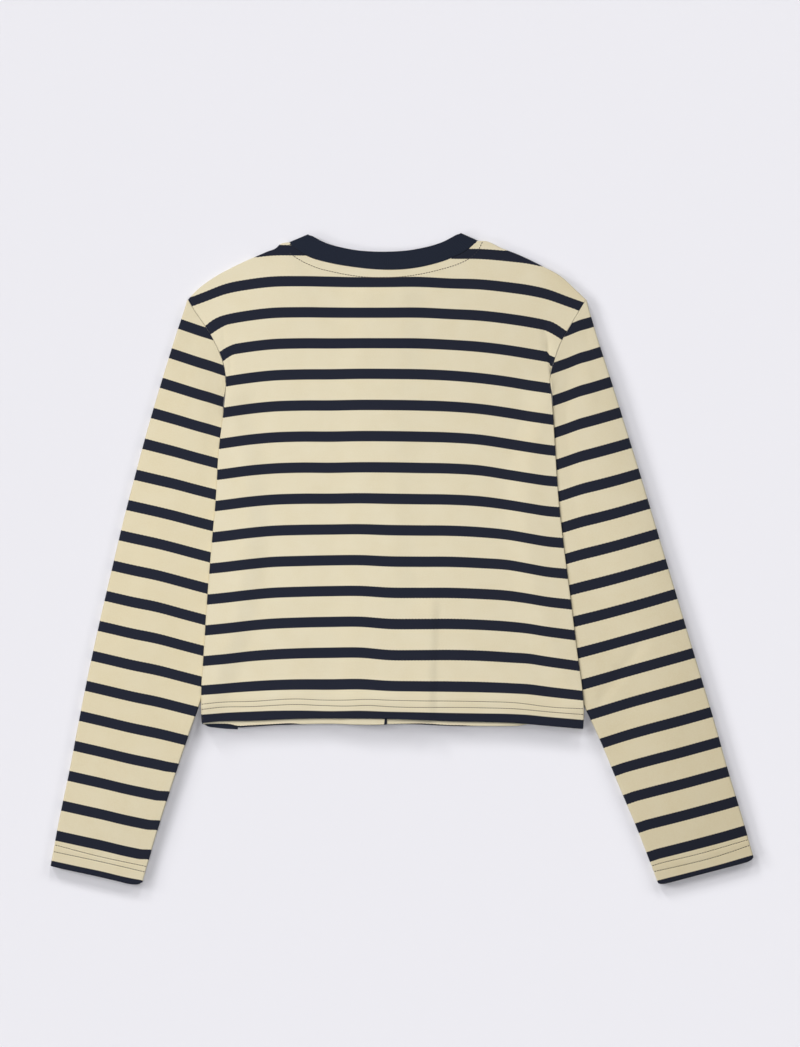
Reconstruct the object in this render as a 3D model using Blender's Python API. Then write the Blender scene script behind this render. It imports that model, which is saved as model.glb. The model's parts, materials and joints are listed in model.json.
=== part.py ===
# Striped jersey cardigan, laid flat with its fronts down and its back up.  The sleeves lie beside the
# body, their inner edges tucked under it.
# Sizes are in millimetres until a mesh is made.  Looking down on the back, +X is to the right and +Y
# towards the neck; +Z points up off the surface, which is at 0.  The wearer's left is at -X.

from math import cos, pi, radians, sin

import bpy
import numpy as np

MM = 0.001

WALL = 1.2  # jersey
BAND_WALL = 1.8  # neckband, rib folded double
BAND_WIDTH = 18.5
SEAM = 0.3  # gap between pieces
ROLL_GAP = 0.7  # between back and front where their rolled edges meet
LAYER_PITCH = 2.3  # from the middle of a lower layer to the middle of the layer on it
LOFT = 1.4  # how much more the back stands off the fronts, away from its edges

BUTTON_COUNT = 6
BUTTON_RADIUS = 6.4
BUTTON_THICK = 2.0
BUTTON_BEVEL = 0.5
BUTTON_FIRST_Y = 216.0
BUTTON_PITCH = 70.0
BUTTON_LIFT = BUTTON_THICK + 0.2

FRONT_NECK_DROP = 78.0  # from the neck corners to the front neck seam
FRONT_NECK_ROUNDNESS = 2.2  # 2 is an ellipse, more is squarer
HEM_DROP_FADE = 6  # power by which the fronts' longer hem fades out up the body

LAP_STEP = WALL + SEAM  # the left front lies this much over the right one
LAP_STEP_AT_NECK = BAND_WALL + SEAM
LAP_STEP_OUTSIDE, LAP_STEP_RAMP = 19.0, 15.0  # where it starts to climb, out from the lap, and over how far
NECK_STEP_Y, NECK_STEP_RAMP = 185.0, 30.0  # where the step grows to the neckband's

# The lap rides over the buttons: a ramp on each side, and one above the hem and below the neck.
BUTTON_SIDE_RAMP = 22.0
BUTTON_FOOT_Y, BUTTON_FOOT_RAMP = -164.0, 24.0
BUTTON_HEAD_Y, BUTTON_HEAD_RAMP = 252.0, 26.0

# The back over the lap is a broad ridge.
RIDGE_HALF, RIDGE_RAMP = 45.0, 29.0
RIDGE_HEIGHT = 0.9  # over the lap alone
RIDGE_FOOT_Y, RIDGE_FOOT_RAMP = -172.0, 24.0
RIDGE_NECK_Y = 180.0
RIDGE_HEAD_Y, RIDGE_HEAD_RAMP = 285.0, 22.0
LOFT_SIDE, LOFT_TOP, LOFT_HEM = 60.0, 55.0, 45.0  # how far in from each edge the loft is full
CREASE_FADE = 3  # a crease fades out over a third of its length beyond its ends

TUCK_LIFT = LAYER_PITCH + WALL + 2.5 * SEAM  # the body's sides lie on the sleeves
TUCK_MARGIN = 4.0
TUCK_RAMP = 28.0
TUCK_TOP, TUCK_TOP_RAMP = 190.0, 34.0
TUCK_END, TUCK_END_RAMP = -172.0, 29.0

# The sleeves' upper layers stand off the lower ones: how high, and in shares of a sleeve's length or width.
PUFF_HEIGHT = 1.5
PUFF_START, PUFF_RAMP = 0.04, 0.14
PUFF_UNDER_BODY = 0.6  # share of the width that the body leaves free
PUFF_FREE_FROM, PUFF_FREE_RAMP = 0.68, 0.12
ARMHOLE_SETTLE = 0.06  # share of the length over which a sleeve comes down from the body's height
ARMHOLE_BOW_FADE = 3

CREAM = (0.72, 0.65, 0.47, 1.0)
NAVY = (0.021, 0.023, 0.034, 1.0)
BUTTON_COLOUR = (0.03, 0.035, 0.05, 1.0)

ROWS_SIDE = 16  # rows of the body from hem to underarm
ROWS_ARMHOLE = 6
UNDERARM_ROW = 0.8  # share of the side that is below the underarm
SHOULDER_COLUMNS = 5
NECK_COLUMNS = 6  # on each side of the front lap
ARC_STEPS = 3  # over each quarter of a rolled edge
SLEEVE_RINGS = 25


def table(columns, *rows):
    """A table of sizes: a named column for each word, a row for each tuple."""
    return dict(zip(columns.split(), np.array(rows, float).T))


# The body's two sides, from the hem up over the underarms to the shoulder tips.
SIDES = table(
    "y left right",
    (-170, -199.5, 181.5),
    (-150, -200.5, 182.2),
    (-127, -200.3, 180.4),
    (-98, -198.3, 176.3),
    (-41, -194.5, 169.2),
    (10, -190.3, 162.5),
    (59, -185.8, 157.0),
    (112, -182.3, 153.4),
    (141, -178.6, 151.6),
    (161, -176.3, 150.0),
    (176, -175.4, 148.4),
    (184, -175.9, 148.8),
    (198, -178.7, 152.5),
    (219, -187.9, 160.5),
    (232, -195.5, 168.0),
    (249, -207.2, 178.0),
    (259.5, -213.5, 184.5),
)
HEM_LEFT_Y, HEM_RIGHT_Y = -164.0, -170.0
UNDERARM_LEFT_Y, UNDERARM_RIGHT_Y = 174.0, 179.0
TIP_Y = 259.5

# The hem of the back, and how far the fronts' hem peeks out below it.
HEM = table(
    "x y front_drop",
    (-199.5, -164.0, 1.5),
    (-183.0, -162.4, 6.0),
    (-150.0, -161.8, 6.0),
    (-100.0, -159.7, 6.8),
    (-42.0, -159.5, 7.0),
    (-12.0, -159.9, 6.2),
    (18.0, -160.9, 4.4),
    (48.0, -162.3, 4.0),
    (80.0, -163.0, 3.0),
    (112.0, -164.0, 1.5),
    (145.0, -166.8, -0.5),
    (181.5, -170.0, -0.5),
)

# Shoulders and back neck seam, from tip to tip.
SHOULDER_LEFT = table(
    "x y",
    (-213.5, 259.5),
    (-204.5, 269.0),
    (-191.5, 279.0),
    (-168.5, 292.0),
    (-151.5, 300.0),
    (-134.5, 307.4),
    (-112.0, 316.7),
)
BACK_NECK = table(
    "x y",
    (-112.0, 316.7),
    (-102.5, 307.5),
    (-92.5, 302.2),
    (-70.5, 295.8),
    (-49.5, 292.2),
    (-21.5, 289.4),
    (3.5, 289.8),
    (28.5, 294.0),
    (48.5, 300.3),
    (66.8, 309.8),
    (75.8, 318.1),
)
SHOULDER_RIGHT = table(
    "x y",
    (75.8, 318.1),
    (97.5, 312.2),
    (115.5, 305.0),
    (140.5, 293.0),
    (161.5, 281.0),
    (173.5, 269.8),
    (184.5, 259.5),
)
# The band's free edge over the back neck.
BAND_TOP = table(
    "x y",
    (-93.5, 324.6),
    (-77.5, 317.0),
    (-56.5, 311.0),
    (-16.5, 307.5),
    (17.5, 310.6),
    (40.5, 317.0),
    (59.5, 325.6),
)

# Where the columns of cloth that meet the shoulders, the neck and the front edges run out at the hem.
COLUMN_RUN = table(
    "top hem",
    (-213.5, -199.5),
    (-112.0, -108.0),
    (-32.5, -43.5),
    (-4.5, -15.7),
    (75.8, 70.0),
    (184.5, 181.5),
)
RIGHT_FRONT_EDGE, LAP_CENTRE, LEFT_FRONT_EDGE = -32.5, -18.5, -4.5  # along the top, at the neck

# The sleeves' outer and inner folds, a row for each section from the armhole to the cuff.
SLEEVE_LEFT = table(
    "outer_x outer_y inner_x inner_y",
    (-213.5, 259.5, -175.4, 174.0),
    (-225.5, 224.0, -178.6, 149.0),
    (-239.5, 179.0, -168.5, 117.0),
    (-252.8, 134.0, -162.5, 79.0),
    (-265.0, 89.0, -161.0, 44.0),
    (-278.0, 39.0, -163.5, 2.0),
    (-289.9, -11.0, -170.5, -45.0),
    (-301.5, -61.0, -182.5, -91.0),
    (-312.5, -111.0, -198.5, -136.0),
    (-322.5, -161.0, -214.5, -181.0),
    (-332.0, -211.0, -229.5, -226.0),
    (-342.5, -261.0, -244.5, -273.0),
    (-351.0, -307.0, -259.5, -324.5),
)
SLEEVE_RIGHT = table(
    "outer_x outer_y inner_x inner_y",
    (184.5, 259.5, 148.4, 179.0),
    (195.0, 224.0, 151.6, 152.0),
    (209.5, 179.0, 141.0, 119.0),
    (223.5, 134.0, 134.5, 81.0),
    (237.5, 89.0, 132.5, 44.0),
    (252.5, 39.0, 135.5, 2.0),
    (267.5, -11.0, 144.5, -45.0),
    (282.5, -61.0, 159.5, -93.0),
    (297.5, -111.0, 178.5, -138.0),
    (312.5, -161.0, 198.5, -181.0),
    (326.5, -211.0, 217.5, -227.0),
    (341.0, -259.0, 236.5, -272.0),
    (352.0, -298.5, 258.0, -324.5),
)

# Soft creases of the back: ends, half width, and height (a trough where it is negative).
BACK_CREASES = table(
    "x0 y0 x1 y1 half height",
    (34, -75, 34, -150, 16, -0.9),
    (-112, 20, -104, -60, 20, -0.5),
    (-176, 232, -168, 186, 9, -0.5),
    (142, 226, 143, 190, 9, -0.6),
    (95, 90, 88, -40, 22, -0.4),
)


def through(xs, ys, x):
    """A smooth line through the points (xs, ys), read at x, straight beyond its ends."""
    slopes = np.gradient(ys, xs)
    i = np.clip(np.searchsorted(xs, x) - 1, 0, len(xs) - 2)
    step = xs[i + 1] - xs[i]
    t = np.clip((x - xs[i]) / step, 0, 1)
    line = (
        (1 + 2 * t) * (1 - t) ** 2 * ys[i]
        + t * (1 - t) ** 2 * step * slopes[i]
        + t**2 * (3 - 2 * t) * ys[i + 1]
        + t**2 * (t - 1) * step * slopes[i + 1]
    )
    before = np.minimum(x - xs[0], 0) * slopes[0]
    beyond = np.maximum(x - xs[-1], 0) * slopes[-1]
    return line + before + beyond


def ease(t):
    """0 up to t = 0, 1 from t = 1 on, smooth between."""
    t = np.clip(t, 0, 1)
    return t * t * (3 - 2 * t)


# The plan of the body.

TIP_LEFT_X, TIP_RIGHT_X = SHOULDER_LEFT["x"][0], SHOULDER_RIGHT["x"][-1]
NECK_LEFT_X, NECK_RIGHT_X = BACK_NECK["x"][0], BACK_NECK["x"][-1]


def body_columns():
    """X of each column along the top: even on the shoulders, closer towards the neck's corners."""
    near_corner = 1 - np.cos(np.linspace(0, pi / 2, NECK_COLUMNS + 1))
    left = NECK_LEFT_X + near_corner * (RIGHT_FRONT_EDGE - NECK_LEFT_X)
    right = NECK_RIGHT_X + near_corner[::-1] * (LEFT_FRONT_EDGE - NECK_RIGHT_X)
    return np.concatenate(
        [
            np.linspace(TIP_LEFT_X, NECK_LEFT_X, SHOULDER_COLUMNS + 1)[:-1],
            left,
            [LAP_CENTRE],
            right,
            np.linspace(NECK_RIGHT_X, TIP_RIGHT_X, SHOULDER_COLUMNS + 1)[1:],
        ]
    )


COLUMNS = body_columns()
RIGHT_FRONT_COLUMN = int(np.argmin(abs(COLUMNS - RIGHT_FRONT_EDGE)))
LEFT_FRONT_COLUMN = RIGHT_FRONT_COLUMN + 2
ROW_SHARES = np.concatenate(
    [
        np.linspace(0, UNDERARM_ROW, ROWS_SIDE + 1),
        np.linspace(UNDERARM_ROW, 1, ROWS_ARMHOLE + 1)[1:],
    ]
)


def top_y(x):
    """Height of the shoulders and the back neck at x."""
    if x <= NECK_LEFT_X:
        line = SHOULDER_LEFT
    elif x < NECK_RIGHT_X:
        line = BACK_NECK
    else:
        line = SHOULDER_RIGHT
    return through(line["x"], line["y"], x)


def side_point(side, share):
    """A point of one side, at this share of the way from the hem to the shoulder tip."""
    hem_y = HEM_LEFT_Y if side == "left" else HEM_RIGHT_Y
    underarm_y = UNDERARM_LEFT_Y if side == "left" else UNDERARM_RIGHT_Y
    y = np.interp(share, [0, UNDERARM_ROW, 1], [hem_y, underarm_y, TIP_Y])
    return np.array([through(SIDES["y"], SIDES[side], y), y])


def body_point(x_top, share):
    """A point of the body laid flat: a patch stretched between hem, sides and top."""
    u = (x_top - TIP_LEFT_X) / (TIP_RIGHT_X - TIP_LEFT_X)
    x_hem = through(COLUMN_RUN["top"], COLUMN_RUN["hem"], x_top)
    hem = np.array([x_hem, through(HEM["x"], HEM["y"], x_hem)])
    top = np.array([x_top, top_y(x_top)])
    left, right = side_point("left", share), side_point("right", share)
    low = (1 - u) * side_point("left", 0) + u * side_point("right", 0)
    high = (1 - u) * side_point("left", 1) + u * side_point("right", 1)
    across = (1 - share) * hem + share * top
    along = (1 - u) * left + u * right
    return across + along - (1 - share) * low - share * high


def share_at(x_top, y):
    """The share up a column at which it reaches height y."""
    low, high = 0.0, 1.0
    for _ in range(30):
        middle = (low + high) / 2
        if body_point(x_top, middle)[1] < y:
            low = middle
        else:
            high = middle
    return (low + high) / 2


def front_neck_y(x_top):
    """Height of the front neck seam, a round U between the neck's corners."""
    centre = (NECK_LEFT_X + NECK_RIGHT_X) / 2
    half = (NECK_RIGHT_X - NECK_LEFT_X) / 2
    across = min(abs(x_top - centre) / half, 1)
    corner = np.interp(x_top, [NECK_LEFT_X, NECK_RIGHT_X], [top_y(NECK_LEFT_X), top_y(NECK_RIGHT_X)])
    depth = (1 - across**FRONT_NECK_ROUNDNESS) ** (1 / FRONT_NECK_ROUNDNESS)
    return corner - FRONT_NECK_DROP * depth


def body_plan(first, last, front):
    """Plan points of the back, or of a front, for these columns: [row][column]."""
    plan = np.zeros((len(ROW_SHARES), last - first + 1, 2))
    for column in range(first, last + 1):
        x_top = COLUMNS[column]
        highest = 1.0
        if front and NECK_LEFT_X < x_top < NECK_RIGHT_X:
            highest = share_at(x_top, front_neck_y(x_top))
        for row, share in enumerate(ROW_SHARES):
            plan[row, column - first] = body_point(x_top, share * highest)
    return plan


# The heights of its layers.

LAP_FOOT, LAP_HEAD = body_point(LAP_CENTRE, 0.0), body_point(LAP_CENTRE, 1.0)
LAP_HALF = (LEFT_FRONT_EDGE - RIGHT_FRONT_EDGE) / 2


def lap_x(y):
    """X of the middle of the front lap at y."""
    return np.interp(y, [LAP_FOOT[1], LAP_HEAD[1]], [LAP_FOOT[0], LAP_HEAD[0]])


def lap_offset(x, y):
    """Distance across from the middle of the front lap."""
    return x - lap_x(y)


def tuck_lift(x, y):
    """How far the body is lifted by the sleeves tucked under its sides."""
    along = ease((TUCK_TOP - y) / TUCK_TOP_RAMP) * ease((y - TUCK_END) / TUCK_END_RAMP)
    lift = 0.0
    for side, sleeve, outward in (("left", SLEEVE_LEFT, -1), ("right", SLEEVE_RIGHT, 1)):
        edge = through(SIDES["y"], SIDES[side], y)
        fold = through(-sleeve["inner_y"], sleeve["inner_x"], -y)
        flat = np.maximum((edge - fold) * outward, 0) + TUCK_MARGIN
        inside = (edge - x) * outward
        lift = lift + ease((flat + TUCK_RAMP - inside) / TUCK_RAMP)
    return TUCK_LIFT * along * lift


def button_lift(x, y):
    """The lap rides over the buttons."""
    across = ease((LAP_HALF + BUTTON_SIDE_RAMP - abs(lap_offset(x, y))) / BUTTON_SIDE_RAMP)
    foot = ease((y - BUTTON_FOOT_Y) / BUTTON_FOOT_RAMP)
    head = ease((BUTTON_HEAD_Y - y) / BUTTON_HEAD_RAMP)
    return BUTTON_LIFT * across * foot * head


def lap_step(x, y):
    """The left front climbs onto the right front."""
    height = LAP_STEP + (LAP_STEP_AT_NECK - LAP_STEP) * ease((y - NECK_STEP_Y) / NECK_STEP_RAMP)
    return height * ease((lap_offset(x, y) + LAP_HALF + LAP_STEP_OUTSIDE) / LAP_STEP_RAMP)


def front_z(x, y, left):
    z = WALL / 2 + tuck_lift(x, y) + button_lift(x, y)
    return z + lap_step(x, y) if left else z


def creases(x, y):
    """Soft troughs and ridges of the back."""
    height = 0.0
    for x0, y0, x1, y1, half, depth in zip(*BACK_CREASES.values()):
        length = np.hypot(x1 - x0, y1 - y0)
        along = ((x - x0) * (x1 - x0) + (y - y0) * (y1 - y0)) / length**2
        across = ((x - x0) * (y1 - y0) - (y - y0) * (x1 - x0)) / length
        ends = ease(along * CREASE_FADE + 1) * ease((1 - along) * CREASE_FADE + 1)
        height += depth * ends * ease(1 - abs(across) / half)
    return height


def inside_edges(x, y):
    """0 at the edges of the body, 1 well inside."""
    left = x - through(SIDES["y"], SIDES["left"], np.minimum(y, TIP_Y))
    right = through(SIDES["y"], SIDES["right"], np.minimum(y, TIP_Y)) - x
    up = top_y(float(x)) - y
    down = y - through(HEM["x"], HEM["y"], x)
    return ease(left / LOFT_SIDE) * ease(right / LOFT_SIDE) * ease(up / LOFT_TOP) * ease(down / LOFT_HEM)


def back_z(x, y):
    ridge = ease((RIDGE_HALF - abs(lap_offset(x, y))) / RIDGE_RAMP)
    top = ease((RIDGE_HEAD_Y - y) / RIDGE_HEAD_RAMP)
    over_lap = RIDGE_HEIGHT + (LAP_STEP_AT_NECK - LAP_STEP) * ease((y - RIDGE_NECK_Y) / NECK_STEP_RAMP)
    over_buttons = BUTTON_LIFT * ease((y - RIDGE_FOOT_Y) / RIDGE_FOOT_RAMP) * top
    inside = inside_edges(x, y)
    z = WALL / 2 + LAYER_PITCH + tuck_lift(x, y)
    z += ridge * (over_lap * top + over_buttons)
    return z + (LOFT * (1 - ridge) + creases(x, y)) * inside


# The pieces of cloth.


def arc(edge_inset, radius):
    """A rolled edge: how far in from the outline each step lies, and how far up the roll, 0 to 1."""
    angles = np.linspace(0, pi / 2, ARC_STEPS + 1)
    return edge_inset + radius * (1 - np.cos(angles)), np.sin(angles)


def roll_in(plan, insets):
    """Puts rows in from the first row of plan, which is the outline, at these insets."""
    edge, inner = plan[0], plan[1]
    away = inner - edge
    away /= np.linalg.norm(away, axis=-1, keepdims=True)
    rows = [edge + away * inset for inset in insets]
    return np.concatenate([np.array(rows), plan[1:]])


def thicken(name, points, material, wall, closed=False):
    """One piece of cloth: a wall on both sides of a grid of points in mm, [row][column][xyz]."""
    rows, columns = points.shape[:2]
    faces = []
    for row in range(rows - 1):
        for column in range(columns if closed else columns - 1):
            beside = (column + 1) % columns
            faces.append(
                (
                    row * columns + column,
                    row * columns + beside,
                    (row + 1) * columns + beside,
                    (row + 1) * columns + column,
                )
            )
    mesh = bpy.data.meshes.new(name)
    mesh.from_pydata((points.reshape(-1, 3) * MM).tolist(), [], faces)
    mesh.validate()
    mesh.shade_smooth()
    mesh.materials.append(material)
    piece = bpy.data.objects.new(name, mesh)
    bpy.context.scene.collection.objects.link(piece)
    wall_modifier = piece.modifiers.new("wall", "SOLIDIFY")
    wall_modifier.thickness = wall * MM
    wall_modifier.offset = 0
    return piece


def body_panel(name, first, last, material, front):
    """The back or a front, its side and shoulder edges rolled towards the layer it is sewn to."""
    left_side, right_side = first == 0, last == len(COLUMNS) - 1
    plan = body_plan(first, last, front)
    roll = (LAYER_PITCH - ROLL_GAP) / 2
    insets, rises = arc(WALL / 2, roll)
    flat_insets, _ = arc(SEAM, roll)

    tops = COLUMNS[first : last + 1]
    on_shoulder = (tops < NECK_LEFT_X) | (tops > NECK_RIGHT_X)
    by_column = np.where(on_shoulder, insets[:, None], flat_insets[:, None])
    plan = roll_in(plan[::-1], by_column[:, :, None])[::-1]
    row_falls = np.zeros(len(plan))
    row_falls[-len(rises) :] = 1 - rises[::-1]
    below_underarm = np.arange(len(plan)) < ROWS_SIDE
    by_row = np.where(below_underarm, insets[:, None], flat_insets[:, None])[:, :, None]

    across = plan.transpose(1, 0, 2)
    column_falls = np.zeros(across.shape[0])
    if left_side:
        across = roll_in(across, by_row)
        on_shoulder = np.concatenate([[True] * ARC_STEPS, on_shoulder])
        column_falls = np.concatenate([1 - rises, np.zeros(len(across) - len(rises))])
    if right_side:
        before = len(across)
        across = roll_in(across[::-1], by_row)[::-1]
        on_shoulder = np.concatenate([on_shoulder, [True] * ARC_STEPS])
        column_falls = np.concatenate([column_falls[: before - 1], (1 - rises)[::-1]])
    plan = across.transpose(1, 0, 2)

    points = np.zeros(plan.shape[:2] + (3,))
    for row in range(plan.shape[0]):
        for column in range(plan.shape[1]):
            x, y = plan[row, column]
            fall = max(row_falls[row] * on_shoulder[column], column_falls[column] * below_underarm[row])
            z = front_z(x, y, left_side) + roll * fall if front else back_z(x, y) - roll * fall
            if front:
                fade = (1 - row / (plan.shape[0] - 1)) ** HEM_DROP_FADE
                y -= through(HEM["x"], HEM["front_drop"], x) * fade
            points[row, column] = x, y, z
    return thicken(name, points, material, WALL)


def sleeve_puff(across, along):
    """The sleeve's upper layer stands off the lower one where no body lies on it."""
    free = ease((along - PUFF_FREE_FROM) / PUFF_FREE_RAMP)
    reach = PUFF_UNDER_BODY + (1 - PUFF_UNDER_BODY) * free
    return PUFF_HEIGHT * np.sin(pi * np.clip(across / reach, 0, 1)) * ease((along - PUFF_START) / PUFF_RAMP)


def sleeve(name, sections, side, material):
    """A flattened tube from the armhole to the cuff, its two folds rolled, open at both ends."""
    stations = np.linspace(0, 1, len(sections["outer_x"]))
    armhole_shares = ROW_SHARES[ROWS_SIDE:][::-1]
    armhole = np.array([side_point(side, share) for share in armhole_shares])
    outward = -1 if side == "left" else 1
    seam = np.gradient(armhole, axis=0)
    normal = np.stack([seam[:, 1], -seam[:, 0]], axis=1) * -outward
    armhole = armhole + normal / np.linalg.norm(normal, axis=1, keepdims=True) * 2 * SEAM
    fractions = np.linspace(0, 1, len(armhole))
    chord = armhole[0] + fractions[:, None] * (armhole[-1] - armhole[0])
    bow = armhole - chord
    insets, rises = arc(WALL / 2, LAYER_PITCH / 2)

    points = []
    for along in np.linspace(0, 1, SLEEVE_RINGS):
        outer = np.array([through(stations, sections[f"outer_{axis}"], along) for axis in "xy"])
        inner = np.array([through(stations, sections[f"inner_{axis}"], along) for axis in "xy"])
        if along == 0:
            outer, inner = armhole[0], armhole[-1]
        line = outer + fractions[:, None] * (inner - outer) + bow * (1 - along) ** ARMHOLE_BOW_FADE
        line = roll_in(line[:, None, :], insets)
        line = roll_in(line[::-1], insets)[::-1][:, 0, :]
        rise = np.ones(len(line))
        rise[: len(rises)] = rises
        rise[-len(rises) :] = rises[::-1]
        across = np.linalg.norm(line - line[0], axis=1) / np.linalg.norm(line[-1] - line[0])
        upper, lower = [], []
        for (x, y), up, share in zip(line, rise, across):
            from_body = tuck_lift(x, y) * ease(1 - along / ARMHOLE_SETTLE)
            middle = WALL / 2 + LAYER_PITCH / 2 + from_body
            puff = sleeve_puff(share, along)
            upper.append((x, y, middle + up * LAYER_PITCH / 2 + puff))
            lower.append((x, y, middle - up * LAYER_PITCH / 2))
        points.append(upper + lower[-2:0:-1])
    points = np.array(points)
    return thicken(name, points if side == "right" else points[::-1], material, WALL, closed=True)


def band_stations(side):
    """The front half of the neckband: seam points and free-edge points from shoulder to front edge."""
    corner = np.array([NECK_LEFT_X if side == "left" else NECK_RIGHT_X, 0.0])
    corner[1] = top_y(corner[0])
    last = LEFT_FRONT_COLUMN if side == "left" else RIGHT_FRONT_COLUMN
    first = SHOULDER_COLUMNS if side == "left" else len(COLUMNS) - 1 - SHOULDER_COLUMNS
    step = 1 if side == "left" else -1
    seam = [corner]
    for column in range(first + step, last + step, step):
        x_top = COLUMNS[column]
        seam.append(body_point(x_top, share_at(x_top, front_neck_y(x_top))))
    seam = np.array(seam)
    run = np.gradient(seam, axis=0)
    inward = np.stack([-run[:, 1], run[:, 0]], axis=1) * step
    inward /= np.linalg.norm(inward, axis=1, keepdims=True)
    return seam + inward * SEAM, inward


def neckband(material):
    """One strip from front edge to front edge, folded over at both shoulders."""
    middle = {"back": WALL / 2 + LAYER_PITCH, "front": BAND_WALL / 2}
    radius = (middle["back"] - middle["front"]) / 2
    neck_x = COLUMNS[SHOULDER_COLUMNS : len(COLUMNS) - SHOULDER_COLUMNS]
    seam = np.array([(x, top_y(x)) for x in neck_x])
    run = np.gradient(seam, axis=0)
    inward = np.stack([-run[:, 1], run[:, 0]], axis=1)
    seam = seam + inward / np.linalg.norm(inward, axis=1, keepdims=True) * SEAM
    back = []
    for x, foot in list(zip(neck_x, seam))[1:-1]:
        top_x = np.interp(x, [NECK_LEFT_X, NECK_RIGHT_X], [BAND_TOP["x"][0], BAND_TOP["x"][-1]])
        tip = np.array([top_x, through(BAND_TOP["x"], BAND_TOP["y"], top_x)])
        back.append((foot, tip, middle["back"]))

    folds = {}
    for side, end, sign in (("left", 0, -1), ("right", -1, 1)):
        corner = np.array([BACK_NECK["x"][end], BACK_NECK["y"][end]])
        peak = np.array([BAND_TOP["x"][end], BAND_TOP["y"][end]])
        fold = (peak - corner) / np.linalg.norm(peak - corner)
        out = np.array([-fold[1], fold[0]]) * -sign
        centre_shift = out * -(radius + BAND_WALL / 2)
        turn = []
        for angle in np.linspace(pi / 2, -pi / 2, 2 * ARC_STEPS + 1):
            shift = centre_shift + out * radius * cos(angle)
            z = middle["front"] + radius * (1 + sin(angle))
            turn.append((corner + fold * 3 * SEAM + shift, peak + shift, z))
        folds[side] = turn

    fronts = {}
    for side in ("left", "right"):
        seam, inward = band_stations(side)
        strip = []
        for foot, direction in list(zip(seam, inward))[1:]:
            tip = foot + direction * BAND_WIDTH
            lift = front_z(*foot, side == "left") - WALL / 2 - tuck_lift(*foot)
            strip.append((foot, tip, middle["front"] + lift))
        fronts[side] = strip

    path = fronts["left"][::-1] + folds["left"][::-1] + back + folds["right"] + fronts["right"]
    points = []
    for foot, tip, z in path:
        points.append([(*(foot + (tip - foot) * share), z) for share in (0, 0.5, 1)])
    return thicken("neckband", np.array(points), material, BAND_WALL)


def button(index, material):
    """A plain round button, its face on the surface and the front lap over its back."""
    y = BUTTON_FIRST_Y - index * BUTTON_PITCH
    x = lap_x(y)
    bpy.ops.mesh.primitive_cylinder_add(vertices=24, radius=BUTTON_RADIUS * MM, depth=BUTTON_THICK * MM)
    piece = bpy.context.object
    piece.name = f"button_{index + 1}"
    piece.location = (x * MM, y * MM, BUTTON_THICK / 2 * MM)
    piece.data.materials.append(material)
    edge = piece.modifiers.new("edge", "BEVEL")
    edge.width = BUTTON_BEVEL * MM
    edge.segments = 2
    edge.limit_method = "ANGLE"
    edge.angle_limit = radians(60)
    return piece


def cloth_material(name, colour, roughness):
    material = bpy.data.materials.new(name)
    material.use_nodes = True
    shader = material.node_tree.nodes["Principled BSDF"]
    shader.inputs["Base Color"].default_value = colour
    shader.inputs["Roughness"].default_value = roughness
    shader.inputs["Metallic"].default_value = 0.0
    return material


def build():
    for old in list(bpy.data.objects):
        bpy.data.objects.remove(old)
    last = len(COLUMNS) - 1
    body_panel("back", 0, last, cloth_material("back_jersey", CREAM, 0.9), front=False)
    body_panel("front_left", 0, LEFT_FRONT_COLUMN, cloth_material("left_jersey", CREAM, 0.9), front=True)
    right_jersey = cloth_material("right_jersey", CREAM, 0.9)
    body_panel("front_right", RIGHT_FRONT_COLUMN, last, right_jersey, front=True)
    sleeve("sleeve_left", SLEEVE_LEFT, "left", cloth_material("left_sleeve_jersey", CREAM, 0.9))
    sleeve("sleeve_right", SLEEVE_RIGHT, "right", cloth_material("right_sleeve_jersey", CREAM, 0.9))
    neckband(cloth_material("neck_rib", NAVY, 0.85))
    for index in range(BUTTON_COUNT):
        button(index, cloth_material(f"button_{index + 1}_resin", BUTTON_COLOUR, 0.35))


build()
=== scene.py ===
import json
from math import cos, pi, radians, sin

import bpy
import numpy as np
from mathutils import Matrix, Vector
from mathutils.bvhtree import BVHTree

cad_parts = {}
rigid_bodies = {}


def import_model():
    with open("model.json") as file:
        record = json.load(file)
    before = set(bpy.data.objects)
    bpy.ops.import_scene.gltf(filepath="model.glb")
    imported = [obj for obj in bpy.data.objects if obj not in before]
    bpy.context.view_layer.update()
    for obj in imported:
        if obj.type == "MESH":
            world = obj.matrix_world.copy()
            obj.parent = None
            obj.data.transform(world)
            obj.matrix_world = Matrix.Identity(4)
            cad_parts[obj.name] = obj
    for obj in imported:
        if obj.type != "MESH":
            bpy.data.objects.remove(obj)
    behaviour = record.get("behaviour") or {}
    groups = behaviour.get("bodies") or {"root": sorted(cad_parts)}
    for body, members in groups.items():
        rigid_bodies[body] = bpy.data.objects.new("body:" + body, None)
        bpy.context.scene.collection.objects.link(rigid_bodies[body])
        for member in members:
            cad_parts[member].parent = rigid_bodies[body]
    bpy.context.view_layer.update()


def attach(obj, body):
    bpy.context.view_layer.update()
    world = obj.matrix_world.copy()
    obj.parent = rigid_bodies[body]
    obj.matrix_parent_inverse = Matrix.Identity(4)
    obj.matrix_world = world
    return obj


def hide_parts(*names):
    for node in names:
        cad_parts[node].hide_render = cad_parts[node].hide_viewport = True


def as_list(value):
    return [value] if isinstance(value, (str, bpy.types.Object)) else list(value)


# Striped jersey cardigan, laid face down with its sleeves beside the body.
# Sizes are in millimetres until a mesh is made: +X right, +Y towards the neck, +Z up off the floor.

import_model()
mm = 0.001
garment = bpy.data.collections.new("garment")
bpy.context.scene.collection.children.link(garment)


def table(columns, *rows):  # a named column for each word, a row for each tuple
    return dict(zip(columns.split(), np.array(rows, float).T))


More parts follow.
